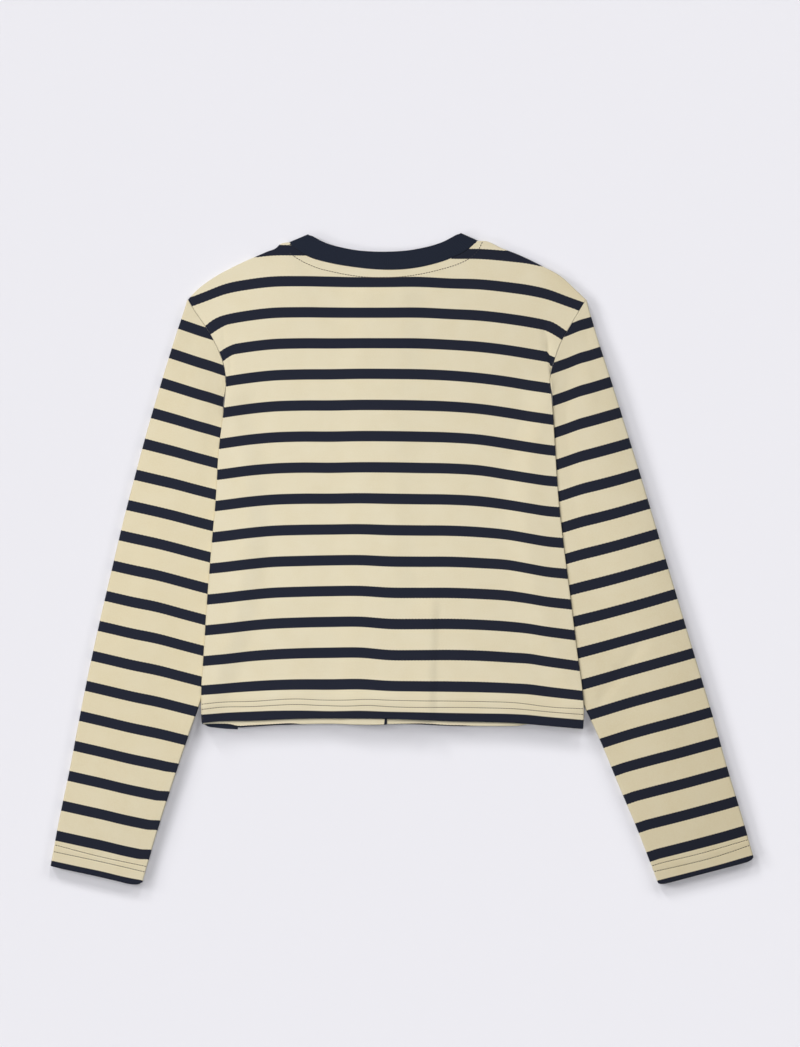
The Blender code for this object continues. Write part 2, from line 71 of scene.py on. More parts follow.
def through(xs, ys, x):  # a smooth line through the points, straight beyond both ends
    slopes = np.gradient(ys, xs)
    i = np.clip(np.searchsorted(xs, x) - 1, 0, len(xs) - 2)
    step = xs[i + 1] - xs[i]
    t = np.clip((x - xs[i]) / step, 0, 1)
    line = (1 + 2 * t) * (1 - t) ** 2 * ys[i] + t * (1 - t) ** 2 * step * slopes[i]
    line = line + t**2 * (3 - 2 * t) * ys[i + 1] + t**2 * (t - 1) * step * slopes[i + 1]
    return line + np.minimum(x - xs[0], 0) * slopes[0] + np.maximum(x - xs[-1], 0) * slopes[-1]


def curve(points, x, column="y"):  # a table's line at x
    return through(points["x"], points[column], x)


def unit(vectors):
    return vectors / np.linalg.norm(vectors, axis=-1, keepdims=True)


def runAlong(points):  # how far each point is from the first, along the line
    return np.concatenate([[0], np.cumsum(np.linalg.norm(np.diff(points, axis=0), axis=1))])


def ease(t):  # 0 up to t = 0, 1 from t = 1 on
    t = np.clip(t, 0, 1)
    return t * t * (3 - 2 * t)


def ramp(value, start, end):  # 0 on the start's side, 1 from the end on, whichever is the greater
    return ease((value - start) / (end - start))


def bell(t):  # 1 at t = 0, 0 beyond 1 either way
    return ease(1 - np.abs(t))


def linearColour(hexCode):  # sRGB hex to linear, with alpha
    channels = [int(hexCode[i:i + 2], 16) / 255 for i in (1, 3, 5)]
    return tuple(c / 12.92 if c <= 0.04045 else ((c + 0.055) / 1.055) ** 2.4 for c in channels) + (1.0,)


def addNode(tree, kind, links=None, **settings):
    node = tree.nodes.new("ShaderNode" + kind)
    for name, value in settings.items():
        setattr(node, name, value)
    for key, value in (links or {}).items():
        if isinstance(value, bpy.types.NodeSocket):
            tree.links.new(value, node.inputs[key])
        else:
            node.inputs[key].default_value = value
    return node


def newMaterial(name, **values):
    material = bpy.data.materials.new(name)
    material.use_nodes = True
    tree = material.node_tree
    shader = tree.nodes["Principled BSDF"]
    for key, value in values.items():
        shader.inputs[key.replace("_", " ")].default_value = value
    return material, tree, shader


jersey = {
    "cream": "#eae5cc",
    "creamWarm": "#e6dfc2",
    "paintedShadeTint": "#faf8f3",  # multiplies the cream where painted shade darkens it
    "navy": "#222736",
    "stripePitch": 30.9,  # from one navy stripe to the next
    "navyWidth": 10.4,
    "wale": 1.6,  # real wales are about 1.1 mm, too fine to show, so they are drawn this wide
    "course": 1.25,  # real courses are about 0.8 mm
    "loopDepth": 0.16,
    "edgeJag": 0.28,  # how far the loops at a stripe's edge step up and down
    "edgeBlur": 0.004,  # of a pitch
    "patch": 28.57,  # size of the cream's faint warm patches
    "fleck": 1.111,  # and of the flecks of its yarn
}


# Cotton jersey, yarn-dyed and knitted in stripes, washed: matt, close and even, with a faint nap that
# lifts its edges, stripe edges that step by half a loop, and cream that varies a little from yarn to yarn.
# The knit attribute holds the wale, the height in the stripes, and how far painted shade darkens the cream.
def stripedJersey():
    material, tree, shader = newMaterial(
        "stripedJersey", Roughness=0.93, IOR=1.47, Specular_IOR_Level=0.18, Sheen_Weight=0.12,
        Sheen_Roughness=0.45)
    knit = addNode(tree, "Attribute", attribute_name="knit")
    split = addNode(tree, "SeparateXYZ", {0: knit.outputs["Vector"]})
    across, down = split.outputs[0], split.outputs[1]

    wales = addNode(tree, "Math", {0: across, 1: jersey["wale"]}, operation="DIVIDE").outputs[0]
    inWale = addNode(tree, "Math", {0: wales, 1: 1.0}, operation="PINGPONG").outputs[0]
    jag = addNode(
        tree, "Math", {0: inWale, 1: jersey["edgeJag"], 2: down}, operation="MULTIPLY_ADD").outputs[0]
    fromMiddle = jag  # how far from the nearest navy stripe's middle, in pitches
    for operation, *numbers in (
            ("DIVIDE", jersey["stripePitch"]), ("ADD", 0.5), ("FRACT",), ("SUBTRACT", 0.5), ("ABSOLUTE",)):
        links = dict(enumerate([fromMiddle, *numbers]))
        fromMiddle = addNode(tree, "Math", links, operation=operation).outputs[0]
    half, blur = jersey["navyWidth"] / jersey["stripePitch"] / 2, jersey["edgeBlur"]
    navyShare = addNode(
        tree, "MapRange", {0: fromMiddle, 1: half - blur, 2: half + blur, 3: 1.0, 4: 0.0},
        interpolation_type="SMOOTHSTEP").outputs[0]

    place = knit.outputs["Vector"]
    patches = addNode(tree, "TexNoise", {"Vector": place, "Scale": 1 / jersey["patch"], "Detail": 3.0})
    flecks = addNode(tree, "TexNoise", {"Vector": place, "Scale": 1 / jersey["fleck"], "Detail": 2.0})
    tint = addNode(
        tree, "Math", {0: patches.outputs[0], 1: flecks.outputs[0]}, operation="MULTIPLY").outputs[0]
    tint = addNode(tree, "MapRange", {0: tint, 1: 0.12, 2: 0.42, 3: 0.0, 4: 1.0}).outputs[0]
    cream = addNode(
        tree, "Mix", {0: tint, 6: linearColour(jersey["cream"]), 7: linearColour(jersey["creamWarm"])},
        data_type="RGBA")
    # Painted shade: the cream is multiplied by the shade tint as far as the knit attribute's third channel
    # says.
    cream = addNode(
        tree, "Mix", {0: split.outputs[2], 6: cream.outputs[2], 7: linearColour(jersey["paintedShadeTint"])},
        data_type="RGBA", blend_type="MULTIPLY")
    colour = addNode(
        tree, "Mix", {0: navyShare, 6: cream.outputs[2], 7: linearColour(jersey["navy"])}, data_type="RGBA")
    tree.links.new(colour.outputs[2], shader.inputs["Base Color"])

    # Stocking stitch: each wale is a column of Vs, two slanting legs to a loop.
    legs = wales
    for operation, *numbers in (("MULTIPLY", 2 * pi), ("SINE",), ("ABSOLUTE",)):
        legs = addNode(tree, "Math", dict(enumerate([legs, *numbers])), operation=operation).outputs[0]
    courses = addNode(tree, "Math", {0: down, 1: jersey["course"]}, operation="DIVIDE").outputs[0]
    slant = addNode(tree, "Math", {0: wales, 1: 0.5}, operation="PINGPONG").outputs[0]
    loops = addNode(tree, "Math", {0: slant, 1: 1.1, 2: courses}, operation="MULTIPLY_ADD").outputs[0]
    for operation, *numbers in (("MULTIPLY", 2 * pi), ("SINE",), ("MULTIPLY_ADD", 0.35, 0.65)):
        loops = addNode(tree, "Math", dict(enumerate([loops, *numbers])), operation=operation).outputs[0]
    height = addNode(tree, "Math", {0: legs, 1: loops}, operation="MULTIPLY").outputs[0]
    bump = addNode(tree, "Bump", {"Height": height, "Distance": jersey["loopDepth"] * mm, "Strength": 0.8})
    tree.links.new(bump.outputs[0], shader.inputs["Normal"])
    return material


rib = {"navy": "#1d2433", "course": 1.2, "loopDepth": 0.12, "fleck": 0.909}


# Cotton rib, dyed navy and folded double: matt, denser than the jersey, its ribs running over the edge.
def navyRib():
    material, tree, shader = newMaterial(
        "navyRib", Roughness=0.9, IOR=1.47, Specular_IOR_Level=0.2, Sheen_Weight=0.12, Sheen_Roughness=0.4)
    knit = addNode(tree, "Attribute", attribute_name="knit")
    split = addNode(tree, "SeparateXYZ", {0: knit.outputs["Vector"]})
    flecks = addNode(
        tree, "TexNoise", {"Vector": knit.outputs["Vector"], "Scale": 1 / rib["fleck"], "Detail": 2.0})
    base = linearColour(rib["navy"])
    lighter = tuple(1.35 * c for c in base[:3]) + (1.0,)
    colour = addNode(tree, "Mix", {0: flecks.outputs[0], 6: base, 7: lighter}, data_type="RGBA")
    tree.links.new(colour.outputs[2], shader.inputs["Base Color"])
    turns = 2 * pi / rib["course"]
    loops = addNode(tree, "Math", {0: split.outputs[1], 1: turns}, operation="MULTIPLY").outputs[0]
    loops = addNode(tree, "Math", {0: loops}, operation="SINE").outputs[0]
    bump = addNode(tree, "Bump", {"Height": loops, "Distance": rib["loopDepth"] * mm, "Strength": 0.6})
    tree.links.new(bump.outputs[0], shader.inputs["Normal"])
    return material


# The taupe and umber are the thread's colour darkened with painted shade, for the grooves its stitches lie
# in.
thread = {"taupeWithGrooveShade": "#564438", "umberWithGrooveShade": "#2b201e", "navy": "#2b2e3d", "twist": 0.7, "twistDepth": 0.06}


# Spun cotton sewing thread, two-ply: a fine matt cord that catches a little light on its twist.
def cottonThread(name, hexCode):
    material, tree, shader = newMaterial(name, Roughness=0.75, IOR=1.47, Sheen_Weight=0.1)
    place = addNode(tree, "NewGeometry")
    twist = addNode(
        tree, "TexWave",
        {"Vector": place.outputs["Position"], "Scale": 1 / (thread["twist"] * mm), "Distortion": 0.5},
        bands_direction="DIAGONAL")
    base = linearColour(hexCode)
    darker = tuple(0.75 * c for c in base[:3]) + (1.0,)
    colour = addNode(tree, "Mix", {0: twist.outputs[1], 6: darker, 7: base}, data_type="RGBA")
    tree.links.new(colour.outputs[2], shader.inputs["Base Color"])
    depth = thread["twistDepth"] * mm
    bump = addNode(tree, "Bump", {"Height": twist.outputs[1], "Distance": depth, "Strength": 0.6})
    tree.links.new(bump.outputs[0], shader.inputs["Normal"])
    return material


buttonResin = {"deep": "#1d2130", "pale": "#343a50", "cloud": 3.846}


# Polyester resin, cast in a rod, cut and tumble-polished: deep navy with a soft gloss and faint clouds.
def castResin():
    material, tree, shader = newMaterial("castResin", Roughness=0.28, IOR=1.55)
    place, scale = addNode(tree, "NewGeometry").outputs["Position"], 1 / (buttonResin["cloud"] * mm)
    clouds = addNode(tree, "TexNoise", {"Vector": place, "Scale": scale, "Detail": 4.0, "Distortion": 1.2})
    deep, pale = linearColour(buttonResin["deep"]), linearColour(buttonResin["pale"])
    colour = addNode(tree, "Mix", {0: clouds.outputs[0], 6: deep, 7: pale}, data_type="RGBA")
    tree.links.new(colour.outputs[2], shader.inputs["Base Color"])
    return material


jerseyCloth = stripedJersey()
ribCloth = navyRib()
seamThread = cottonThread("cottonThreadTaupeGrooveShade", thread["taupeWithGrooveShade"])
cuffThread = cottonThread("cottonThreadUmberGrooveShade", thread["umberWithGrooveShade"])
navyThread = cottonThread("cottonThreadNavy", thread["navy"])
resin = castResin()
print("materials made")


def addMesh(name, vertices, faces, material, knit=None):
    mesh = bpy.data.meshes.new(name)
    mesh.from_pydata((np.asarray(vertices) * mm).tolist(), [], [list(map(int, f)) for f in faces])
    if knit is not None:
        layer = mesh.attributes.new("knit", "FLOAT_VECTOR", "POINT")
        layer.data.foreach_set("vector", np.asarray(knit, np.float32).ravel())
    mesh.shade_smooth()
    mesh.materials.append(material)
    piece = bpy.data.objects.new(name, mesh)
    garment.objects.link(piece)
    return piece


def gridNormals(points, closed):
    if closed:
        wrapped = np.concatenate([points[:, -1:], points, points[:, :1]], axis=1)
        across = np.gradient(wrapped, axis=1)[:, 1:-1]
    else:
        across = np.gradient(points, axis=1)
    normal = np.cross(across, np.gradient(points, axis=0))
    return unit(normal)


def rimLoops(rows, columns, closed):  # the open edges of a grid, in order, as lists of (row, column)
    if closed:
        first = [(0, c) for c in range(columns)]
        return [first, [(rows - 1, c) for c in range(columns - 1, -1, -1)]]
    low = [(0, c) for c in range(columns - 1)]
    right = [(r, columns - 1) for r in range(rows - 1)]
    high = [(rows - 1, c) for c in range(columns - 1, 0, -1)]
    left = [(r, 0) for r in range(rows - 1, 0, -1)]
    return [low + right + high + left]


rimSteps = 4
seamSquareness = 0.55


# A wall of cloth on both sides of a grid of points, with its edges rounded. up and down are how far the
# two faces stand off the grid; knitUp and knitDown are where each face lies in the knitting. Where sewn
# is 1 its edge is squarer, so that two edges meet in a fine line.
def clothShell(name, middle, up, down, knitUp, knitDown, material, closed=False, sewn=None):
    rows, columns = middle.shape[:2]
    normal = gridNormals(middle, closed)
    top, bottom = middle + normal * up[..., None], middle - normal * down[..., None]
    vertices = [top.reshape(-1, 3), bottom.reshape(-1, 3)]
    knit = [knitUp.reshape(-1, 3), knitDown.reshape(-1, 3)]
    index = np.arange(rows * columns).reshape(rows, columns)
    here, beside = (index, np.roll(index, -1, axis=1)) if closed else (index[:, :-1], index[:, 1:])
    quads = np.stack([here[:-1], beside[:-1], beside[1:], here[1:]], axis=-1).reshape(-1, 4)
    faces = [quads, quads[:, ::-1] + rows * columns]
    count = 2 * rows * columns
    for loop in rimLoops(rows, columns, closed):
        r, c = np.array(loop).T
        outward = np.zeros((len(loop), 3))
        for edge, other, at in (
                (0, 1, r), (rows - 1, rows - 2, r), (0, 1, c), (columns - 1, columns - 2, c)):
            if at is c and closed:
                continue
            on = at == edge
            inside = middle[other, c[on]] if at is r else middle[r[on], other]
            step = middle[r[on], c[on]] - inside
            outward[on] += unit(step)
        outward = unit(outward)
        above, below = top[r, c], bottom[r, c]
        half = np.linalg.norm(above - below, axis=1, keepdims=True) / 2
        square = 1 - seamSquareness * (0 if sewn is None else sewn[r, c][:, None])
        arcs = [index[r, c]]
        for step in range(1, rimSteps):
            turn = pi * step / rimSteps
            rise, reach = np.sign(round(cos(turn), 6)) * abs(cos(turn)) ** square, sin(turn) ** square
            vertices.append((above + below) / 2 + (above - below) / 2 * rise + outward * half * reach)
            knit.append(knitUp[r, c] + (knitDown[r, c] - knitUp[r, c]) * step / rimSteps)
            arcs.append(count + np.arange(len(loop)))
            count += len(loop)
        arcs.append(index[r, c] + rows * columns)
        for upper, lower in zip(arcs[:-1], arcs[1:]):
            faces.append(np.stack([lower, np.roll(lower, -1), np.roll(upper, -1), upper], axis=-1))
    return addMesh(name, np.concatenate(vertices), np.concatenate(faces), material, np.concatenate(knit))


# The plan of the garment, in the same sizes as its solids.
wall = 1.2  # the jersey's thickness
bandWall = 1.8  # the folded rib's
bandWidth = 18.5
layerPitch = 2.3  # from the middle of one layer of cloth to the next
loft = 1.4  # how far the back stands off the fronts
hair = 0.05  # gap left at a seam

sides = table(
    "y left right",
    (-170, -199.5, 181.5), (-150, -200.5, 182.2), (-127, -200.3, 180.4), (-98, -198.3, 176.3),
    (-41, -194.5, 169.2), (10, -190.3, 162.5), (59, -185.8, 157), (112, -182.3, 153.4),
    (141, -178.6, 151.6), (161, -176.3, 150), (176, -175.4, 148.4), (184, -175.9, 148.8),
    (198, -178.7, 152.5), (219, -187.9, 160.5), (232, -195.5, 168), (249, -207.2, 178),
    (259.5, -213.5, 184.5))
hemY = {"left": -164.0, "right": -170.0}
underarmY = {"left": 174.0, "right": 179.0}
tipY = 259.5
underarmRow = 0.8

hem = table(
    "x y",
    (-199.5, -164), (-183, -162.4), (-150, -161.8), (-100, -159.7), (-42, -159.5), (-12, -159.9),
    (18, -160.9), (48, -162.3), (80, -163), (112, -164), (145, -166.8), (181.5, -170))
# How far the fronts hang out below the back's hem, and how much navy shows where they turn up.
frontHem = table(
    "x drop navy",
    (-199.5, 1.2, 0.3), (-183, 2.6, 0.6), (-170, 4.7, 1.4), (-165, 6.3, 1.7), (-152, 6.1, 1.7),
    (-130, 5.6, 1.5), (-104, 5.8, 1), (-94, 5.7, -1), (-72, 5.6, -1), (-42, 6.3, -0.5), (-21, 6.2, 0.3),
    (-12, 5.6, 0.2), (2, 4.8, 0.2), (12, 4.6, 0.9), (48, 4.6, 1), (66, 4.5, 0.8), (80, 4.3, -1),
    (108, 3.4, -1), (118, 2.5, -1), (126, 0.3, -1), (145, -0.5, -1), (181.5, -0.5, -1))
shoulderLeft = table(
    "x y",
    (-213.5, 259.5), (-204.5, 269), (-191.5, 279), (-168.5, 292), (-151.5, 300), (-134.5, 307.4),
    (-124, 312.2), (-121.4, 315), (-117.5, 316.1), (-112, 316.7))
backNeck = table(
    "x y",
    (-112, 316.7), (-102.5, 307.5), (-92.5, 302.2), (-70.5, 295.8), (-49.5, 292.2), (-21.5, 289.4),
    (3.5, 289.8), (28.5, 294), (48.5, 300.3), (66.8, 309.8), (75.8, 318.1))
shoulderRight = table(
    "x y",
    (75.8, 318.1), (86.5, 317.5), (92, 314.9), (98.5, 311.6), (115.5, 305), (140.5, 293), (161.5, 281),
    (173.5, 269.8), (184.5, 259.5))
bandTop = table(
    "x y",
    (-93.5, 325.6), (-77.5, 317), (-56.5, 311), (-16.5, 307.5), (17.5, 310.6), (40.5, 317), (59.5, 327))
columnRun = table(
    "top hem",
    (-213.5, -199.5), (-112, -108), (-32.5, -43.5), (-4.5, -14.9), (75.8, 70), (184.5, 181.5))
rightFrontEdge, lapCentre, leftFrontEdge = -32.5, -18.5, -4.5
frontNeckDrop = 78.0

sleeveSections = {
    "left": table(
        "outerX outerY innerX innerY",
        (-213.5, 259.5, -175.4, 174), (-225.5, 224, -178.6, 149), (-239.5, 179, -168.5, 117),
        (-252.8, 134, -162.5, 79), (-265, 89, -161, 44), (-278, 39, -163.5, 2),
        (-289.9, -11, -170.5, -45), (-301.5, -61, -182.5, -91), (-312.5, -111, -198.5, -136),
        (-322.5, -161, -214.5, -181), (-332, -211, -229.5, -226), (-342.5, -261, -244.5, -273),
        (-351, -307, -259.5, -324.5)),
    "right": table(
        "outerX outerY innerX innerY",
        (184.5, 259.5, 148.4, 179), (195, 224, 151.6, 152), (209.5, 179, 141, 119),
        (223.5, 134, 134.5, 81), (237.5, 89, 132.5, 44), (252.5, 39, 135.5, 2),
        (267.5, -11, 144.5, -45), (282.5, -61, 159.5, -93), (297.5, -111, 178.5, -138),
        (312.5, -161, 198.5, -181), (326.5, -211, 217.5, -227), (341, -259, 236.5, -272),
        (352, -298.5, 256.8, -324.5))}

tipLeftX, tipRightX = -213.5, 184.5
neckLeftX, neckRightX = -112.0, 75.8


def topY(x):  # the shoulders and the back neck
    neckAndRight = np.where(x < neckRightX, curve(backNeck, x), curve(shoulderRight, x))
    return np.where(x <= neckLeftX, curve(shoulderLeft, x), neckAndRight)


def sideX(side, y):
    return through(sides["y"], sides[side], y)


def sidePoint(side, share):
    y = np.interp(share, [0, underarmRow, 1], [hemY[side], underarmY[side], tipY])
    return np.stack([sideX(side, y), y], axis=-1)


def bodyPoint(xTop, share):  # a patch stretched between the hem, the sides and the top
    xTop, share = np.broadcast_arrays(np.asarray(xTop, float), np.asarray(share, float))
    u = ((xTop - tipLeftX) / (tipRightX - tipLeftX))[..., None]
    v = share[..., None]
    xHem = through(columnRun["top"], columnRun["hem"], xTop)
    low = np.stack([xHem, curve(hem, xHem)], axis=-1)
    high = np.stack([xTop, topY(xTop)], axis=-1)
    left, right = sidePoint("left", share), sidePoint("right", share)
    lowCorners = (1 - u) * sidePoint("left", 0.0) + u * sidePoint("right", 0.0)
    highCorners = (1 - u) * sidePoint("left", 1.0) + u * sidePoint("right", 1.0)
    return (1 - v) * low + v * high + (1 - u) * left + u * right - (1 - v) * lowCorners - v * highCorners


def frontNeckY(x):  # a round U between the neck's corners
    centre, half = (neckLeftX + neckRightX) / 2, (neckRightX - neckLeftX) / 2
    across = np.minimum(np.abs(x - centre) / half, 1)
    ends = backNeck["y"][[0, -1]]
    corner = np.interp(x, [neckLeftX, neckRightX], ends)
    return corner - frontNeckDrop * (1 - across**2.2) ** (1 / 2.2)


def shareAt(xTop, y):  # the share up a column at which it reaches height y
    low, high = np.zeros(np.shape(xTop)), np.ones(np.shape(xTop))
    for _ in range(30):
        middle = (low + high) / 2
        under = bodyPoint(xTop, middle)[..., 1] < y
        low, high = np.where(under, middle, low), np.where(under, high, middle)
    return (low + high) / 2


# How the layers ride over each other. Each pair is where the cloth starts to rise and where it has risen.
tuck = {
    "lift": layerPitch + wall + 0.75, "margin": 4.0, "slope": 28.0, "top": (190, 156), "hem": (-172, -143)}
lap = {"step": 1.5, "stepAtNeck": 2.1, "neck": (185, 215), "edge": (-19, -4)}
overButtons = {"lift": 2.2, "slope": 22.0, "low": (-164, -140), "high": (252, 226)}
backRidge = {"overLap": 0.9, "side": (45, 16), "top": (285, 263), "neck": (180, 210), "low": (-167, -140)}
lapHalf = (leftFrontEdge - rightFrontEdge) / 2
lapFoot, lapHead = bodyPoint(lapCentre, 0.0), bodyPoint(lapCentre, 1.0)


def lapX(y):
    return np.interp(y, [lapFoot[1], lapHead[1]], [lapFoot[0], lapHead[0]])


def tuckLift(x, y):  # the body's sides ride over the sleeves tucked under them
    along = ramp(y, *tuck["top"]) * ramp(y, *tuck["hem"])
    lift = 0.0
    for side, outward in (("left", -1), ("right", 1)):
        sections = sleeveSections[side]
        edge = sideX(side, y)
        fold = through(-sections["innerY"], sections["innerX"], -y)
        flat = np.maximum((edge - fold) * outward, 0) + tuck["margin"]
        lift = lift + ramp((edge - x) * outward, flat + tuck["slope"], flat)
    return tuck["lift"] * along * lift


def buttonLift(x, y):  # the lap rides over the buttons
    across = ramp(np.abs(x - lapX(y)), lapHalf + overButtons["slope"], lapHalf)
    return overButtons["lift"] * across * ramp(y, *overButtons["low"]) * ramp(y, *overButtons["high"])


def frontZ(x, y, left):
    z = wall / 2 + tuckLift(x, y) + buttonLift(x, y)
    if left:
        step = lap["step"] + (lap["stepAtNeck"] - lap["step"]) * ramp(y, *lap["neck"])
        z = z + step * ramp(x - lapX(y) + lapHalf, *lap["edge"])
    return z


# Creases of the back, troughs where the height is negative. left and right are how far each side of a
# crease reaches, seen along it from its first point to its second as it hangs down the page.
backCreases = table(
    "x0 y0 x1 y1 left right height",
    (2, 170, 8, 20, 14, 12, -0.25),
    (12, -10, 28, -86, 11, 11, -0.3),
    (74, 19, 108, -61, 16, 12, -0.45),
    (120, -40, 150, -110, 14, 18, 0.35),
    (-60, 150, -52, -60, 20, 20, 0.2))
armholeCreases = table(
    "x0 y0 x1 y1 left right height",
    (-179.2, 231, -178.4, 212, 1.6, 7, -0.5),
    (-172.2, 203, -171.8, 186, 1.6, 5, -0.6),
    (144.2, 233, 145.8, 208, 7, 5, -1),
    (146, 214, 149, 183, 1.4, 8, -1.3))
hemCreases = table(
    "x0 y0 x1 y1 left right height",
    (29.5, -60, 26, -172, 40, 9, 2.2),
    (-100, -128, -101, -168, 14, 14, 0.5))


def creasesAt(creases, x, y):
    height = np.zeros(np.shape(x))
    for x0, y0, x1, y1, left, right, depth in zip(*creases.values()):
        length = np.hypot(x1 - x0, y1 - y0)
        along = ((x - x0) * (x1 - x0) + (y - y0) * (y1 - y0)) / length**2
        across = ((x - x0) * (y0 - y1) + (y - y0) * (x1 - x0)) / length
        reach = np.where(across < 0, left, right)
        height += depth * ramp(along, -1 / 3, 0) * ramp(along, 4 / 3, 1) * bell(across / reach)
    return height


def insideEdges(x, y):  # 0 at the body's edges, 1 well inside
    low = np.minimum(y, tipY)
    left, right = x - sideX("left", low), sideX("right", low) - x
    up, down = topY(x) - y, y - curve(hem, x)
    return ease(left / 60) * ease(right / 60) * ease(up / 55) * ease(down / 45)


def backZ(x, y):
    ridge, top = ramp(np.abs(x - lapX(y)), *backRidge["side"]), ramp(y, *backRidge["top"])
    overLap = backRidge["overLap"] + (lap["stepAtNeck"] - lap["step"]) * ramp(y, *backRidge["neck"])
    onButtons = overButtons["lift"] * ramp(y, *backRidge["low"])
    z = wall / 2 + layerPitch + tuckLift(x, y) + ridge * top * (overLap + onButtons)
    z = z + (loft * (1 - ridge) + creasesAt(backCreases, x, y)) * insideEdges(x, y)
    return z + creasesAt(hemCreases, x, y) + creasesAt(armholeCreases, x, y)


# Heights of the middles of navy stripes -1, 0, 3, 6, 9, 12 and 14, counted down from the neck.
bodyStripes = table(
    "x s-1 s0 s3 s6 s9 s12 s14",
    (-196.5, 291.7, 262.1, 173.4, 82.4, -10.3, -102.1, -160),
    (-176.5, 300.5, 269.6, 177, 85, -8.2, -100.2, -158.7),
    (-151.5, 305.7, 274.5, 180.9, 88.3, -5.2, -97.4, -157.7),
    (-131.5, 308.2, 276.9, 183.1, 90.1, -3.3, -95.8, -157),
    (-101.5, 308.4, 277.6, 184.3, 91.2, -2.2, -94.4, -156.8),
    (-71.5, 307.9, 277.1, 184.5, 91, -1.5, -93.8, -157.5),
    (-41.5, 307, 276.5, 185, 91.5, -1.3, -93.6, -157),
    (-11.5, 307, 276.6, 184.9, 91.4, -2.6, -96.2, -157.8),
    (18.5, 307, 276.9, 184.5, 90.9, -2.9, -96.3, -158.5),
    (48.5, 305, 275.5, 183.2, 90.3, -3, -96.1, -159.3),
    (78.5, 304.8, 274.4, 180.6, 88.4, -4.2, -96.8, -159.7),
    (108.5, 302.4, 271.2, 176.7, 83.7, -6.3, -98.6, -160.1),
    (128.5, 300, 268.3, 173.3, 80.5, -9.9, -99.9, -161.2),
    (143.5, 296.5, 265.1, 171, 78.3, -12.7, -102.2, -162.7),
    (168.5, 286.3, 256.4, 166.7, 76.5, -15.3, -105.9, -164.6))
bodyLevels = (-1, 0, 3, 6, 9, 12, 14)

# Five points on the middles of every fourth stripe of a sleeve, counted up from the cuff.
sleeveStripes = {
    "left": table(
        "stripe x1 y1 x2 y2 x3 y3 x4 y4 x5 y5",
        (0, -341.5, -277.2, -320, -281.9, -299.5, -286.3, -278, -291.5, -257.5, -295.8),
        (4, -317.5, -157.6, -293.5, -163.2, -269.5, -168.9, -241.5, -174.8, -217.5, -180.7),
        (8, -293.5, -37.3, -269.5, -42.8, -245.5, -47.6, -217.5, -55.2, -201.5, -59.5),
        (12, -261.5, 83.2, -243.5, 79, -225.5, 74.8, -207.5, 70, -189.5, 65.4),
        (16, -225.5, 204.2, -213.5, 200.2, -201.5, 196.3, -191.5, 193.3, -181.5, 189.9)),
    "right": table(
        "stripe x1 y1 x2 y2 x3 y3 x4 y4 x5 y5",
        (0, 250.5, -296.1, 274.5, -290.1, 298.5, -283.9, 320, -278.2, 342.5, -271.7),
        (4, 202.5, -183.5, 226.5, -175.8, 250.5, -169, 278.5, -161.6, 306.5, -153.8),
        (8, 174.5, -62, 198.5, -56.1, 222.5, -49.7, 246.5, -43, 270.5, -36),
        (12, 162.5, 64.2, 180.5, 70.1, 198.5, 74.6, 216.5, 79.3, 234.5, 84.5),
        (16, 154.5, 191.9, 166.5, 196.2, 178.5, 200.9, 188.5, 203.7, 198.5, 206.9))}


def countStripes(levels, heights, y):  # reads the level at y between lines of known height
    count = levels[0] + (heights[0] - y) / (heights[0] - heights[1]) * (levels[1] - levels[0])
    for i in range(1, len(levels) - 1):
        here = levels[i] + (heights[i] - y) / (heights[i] - heights[i + 1]) * (levels[i + 1] - levels[i])
        passed = (heights[i] - y) * np.sign(heights[0] - heights[1]) > 0
        count = np.where(passed, here, count)
    return count


# How far the stripes are pulled towards the armholes' seams, and over what width.
armholeCurl = {
    "dip": 5.0, "reach": 12.0, "moreReachAbove": 11.0, "foldX": 145.2, "foldY": 214.0, "step": 2.4}


def armholeDip(x, y):  # the stripes curl down where the cloth turns into the armhole seam
    fromSide = np.minimum(x - sideX("left", y), sideX("right", y) - x)
    reach = armholeCurl["reach"] + armholeCurl["moreReachAbove"] * ramp(y, 198, 224)
    dip = armholeCurl["dip"] * np.clip(1 - fromSide / reach, 0, 1) ** 1.3
    dip = dip * ramp(y, 183, 195) * ramp(y, 252, 230)
    # On the right they step down across a small, slanting fold.
    pastFold = x - armholeCurl["foldX"] - (armholeCurl["foldY"] - y) * 0.11
    step = armholeCurl["step"] * ramp(pastFold, 0, 1.2) + 0.22 * np.maximum(pastFold, 0)
    folded = ramp(y, 219, 211) * (x > 100)
    return dip + (step * ramp(y, 180, 188) - dip) * folded


def bodyStripe(x, y):
    y = y + armholeDip(x, y)
    heights = [curve(bodyStripes, x, f"s{level}") for level in bodyLevels]
    return countStripes(bodyLevels, heights, y)


def sleeveStripe(side, x, y):
    rows = sleeveStripes[side]
    heights = []
    for i in range(len(rows["stripe"])):
        xs, ys = (np.array([rows[f"{axis}{point}"][i] for point in range(1, 6)]) for axis in "xy")
        heights.append(through(xs, ys, x))
    return countStripes(rows["stripe"], heights, y)


bodyCloth = {
    "cell": 2.6,  # size of the mesh's faces
    "hemDepth": 19.7,  # from the edge to the upper row of hem stitching
    "hemSwell": 0.25,  # how much the turned-up hem stands out
    "hemInside": 0.35,  # and in, where the next layer lies on it
    "frontHemInside": 0.75,
    "hemLift": 2.0,  # the back's hem rides on the fronts' thick ones
    "grooveDepth": 0.3,
    "grooveHalf": 1.3,
    "turnEnd": 3.0,  # over which the turned-up cloth ends
    "hemSlope": 26.0,
    "unevenness": 0.10,  # faint waves all over the cloth
    "topstitch": {"below": 11.0, "half": 2.2, "depth": 0.2},  # the row under the neckband
    "paintedShoulderShade": {"x": (125, 160), "deep": 34.0},  # painted shade, darkening the cream towards the right shoulder's edge
}
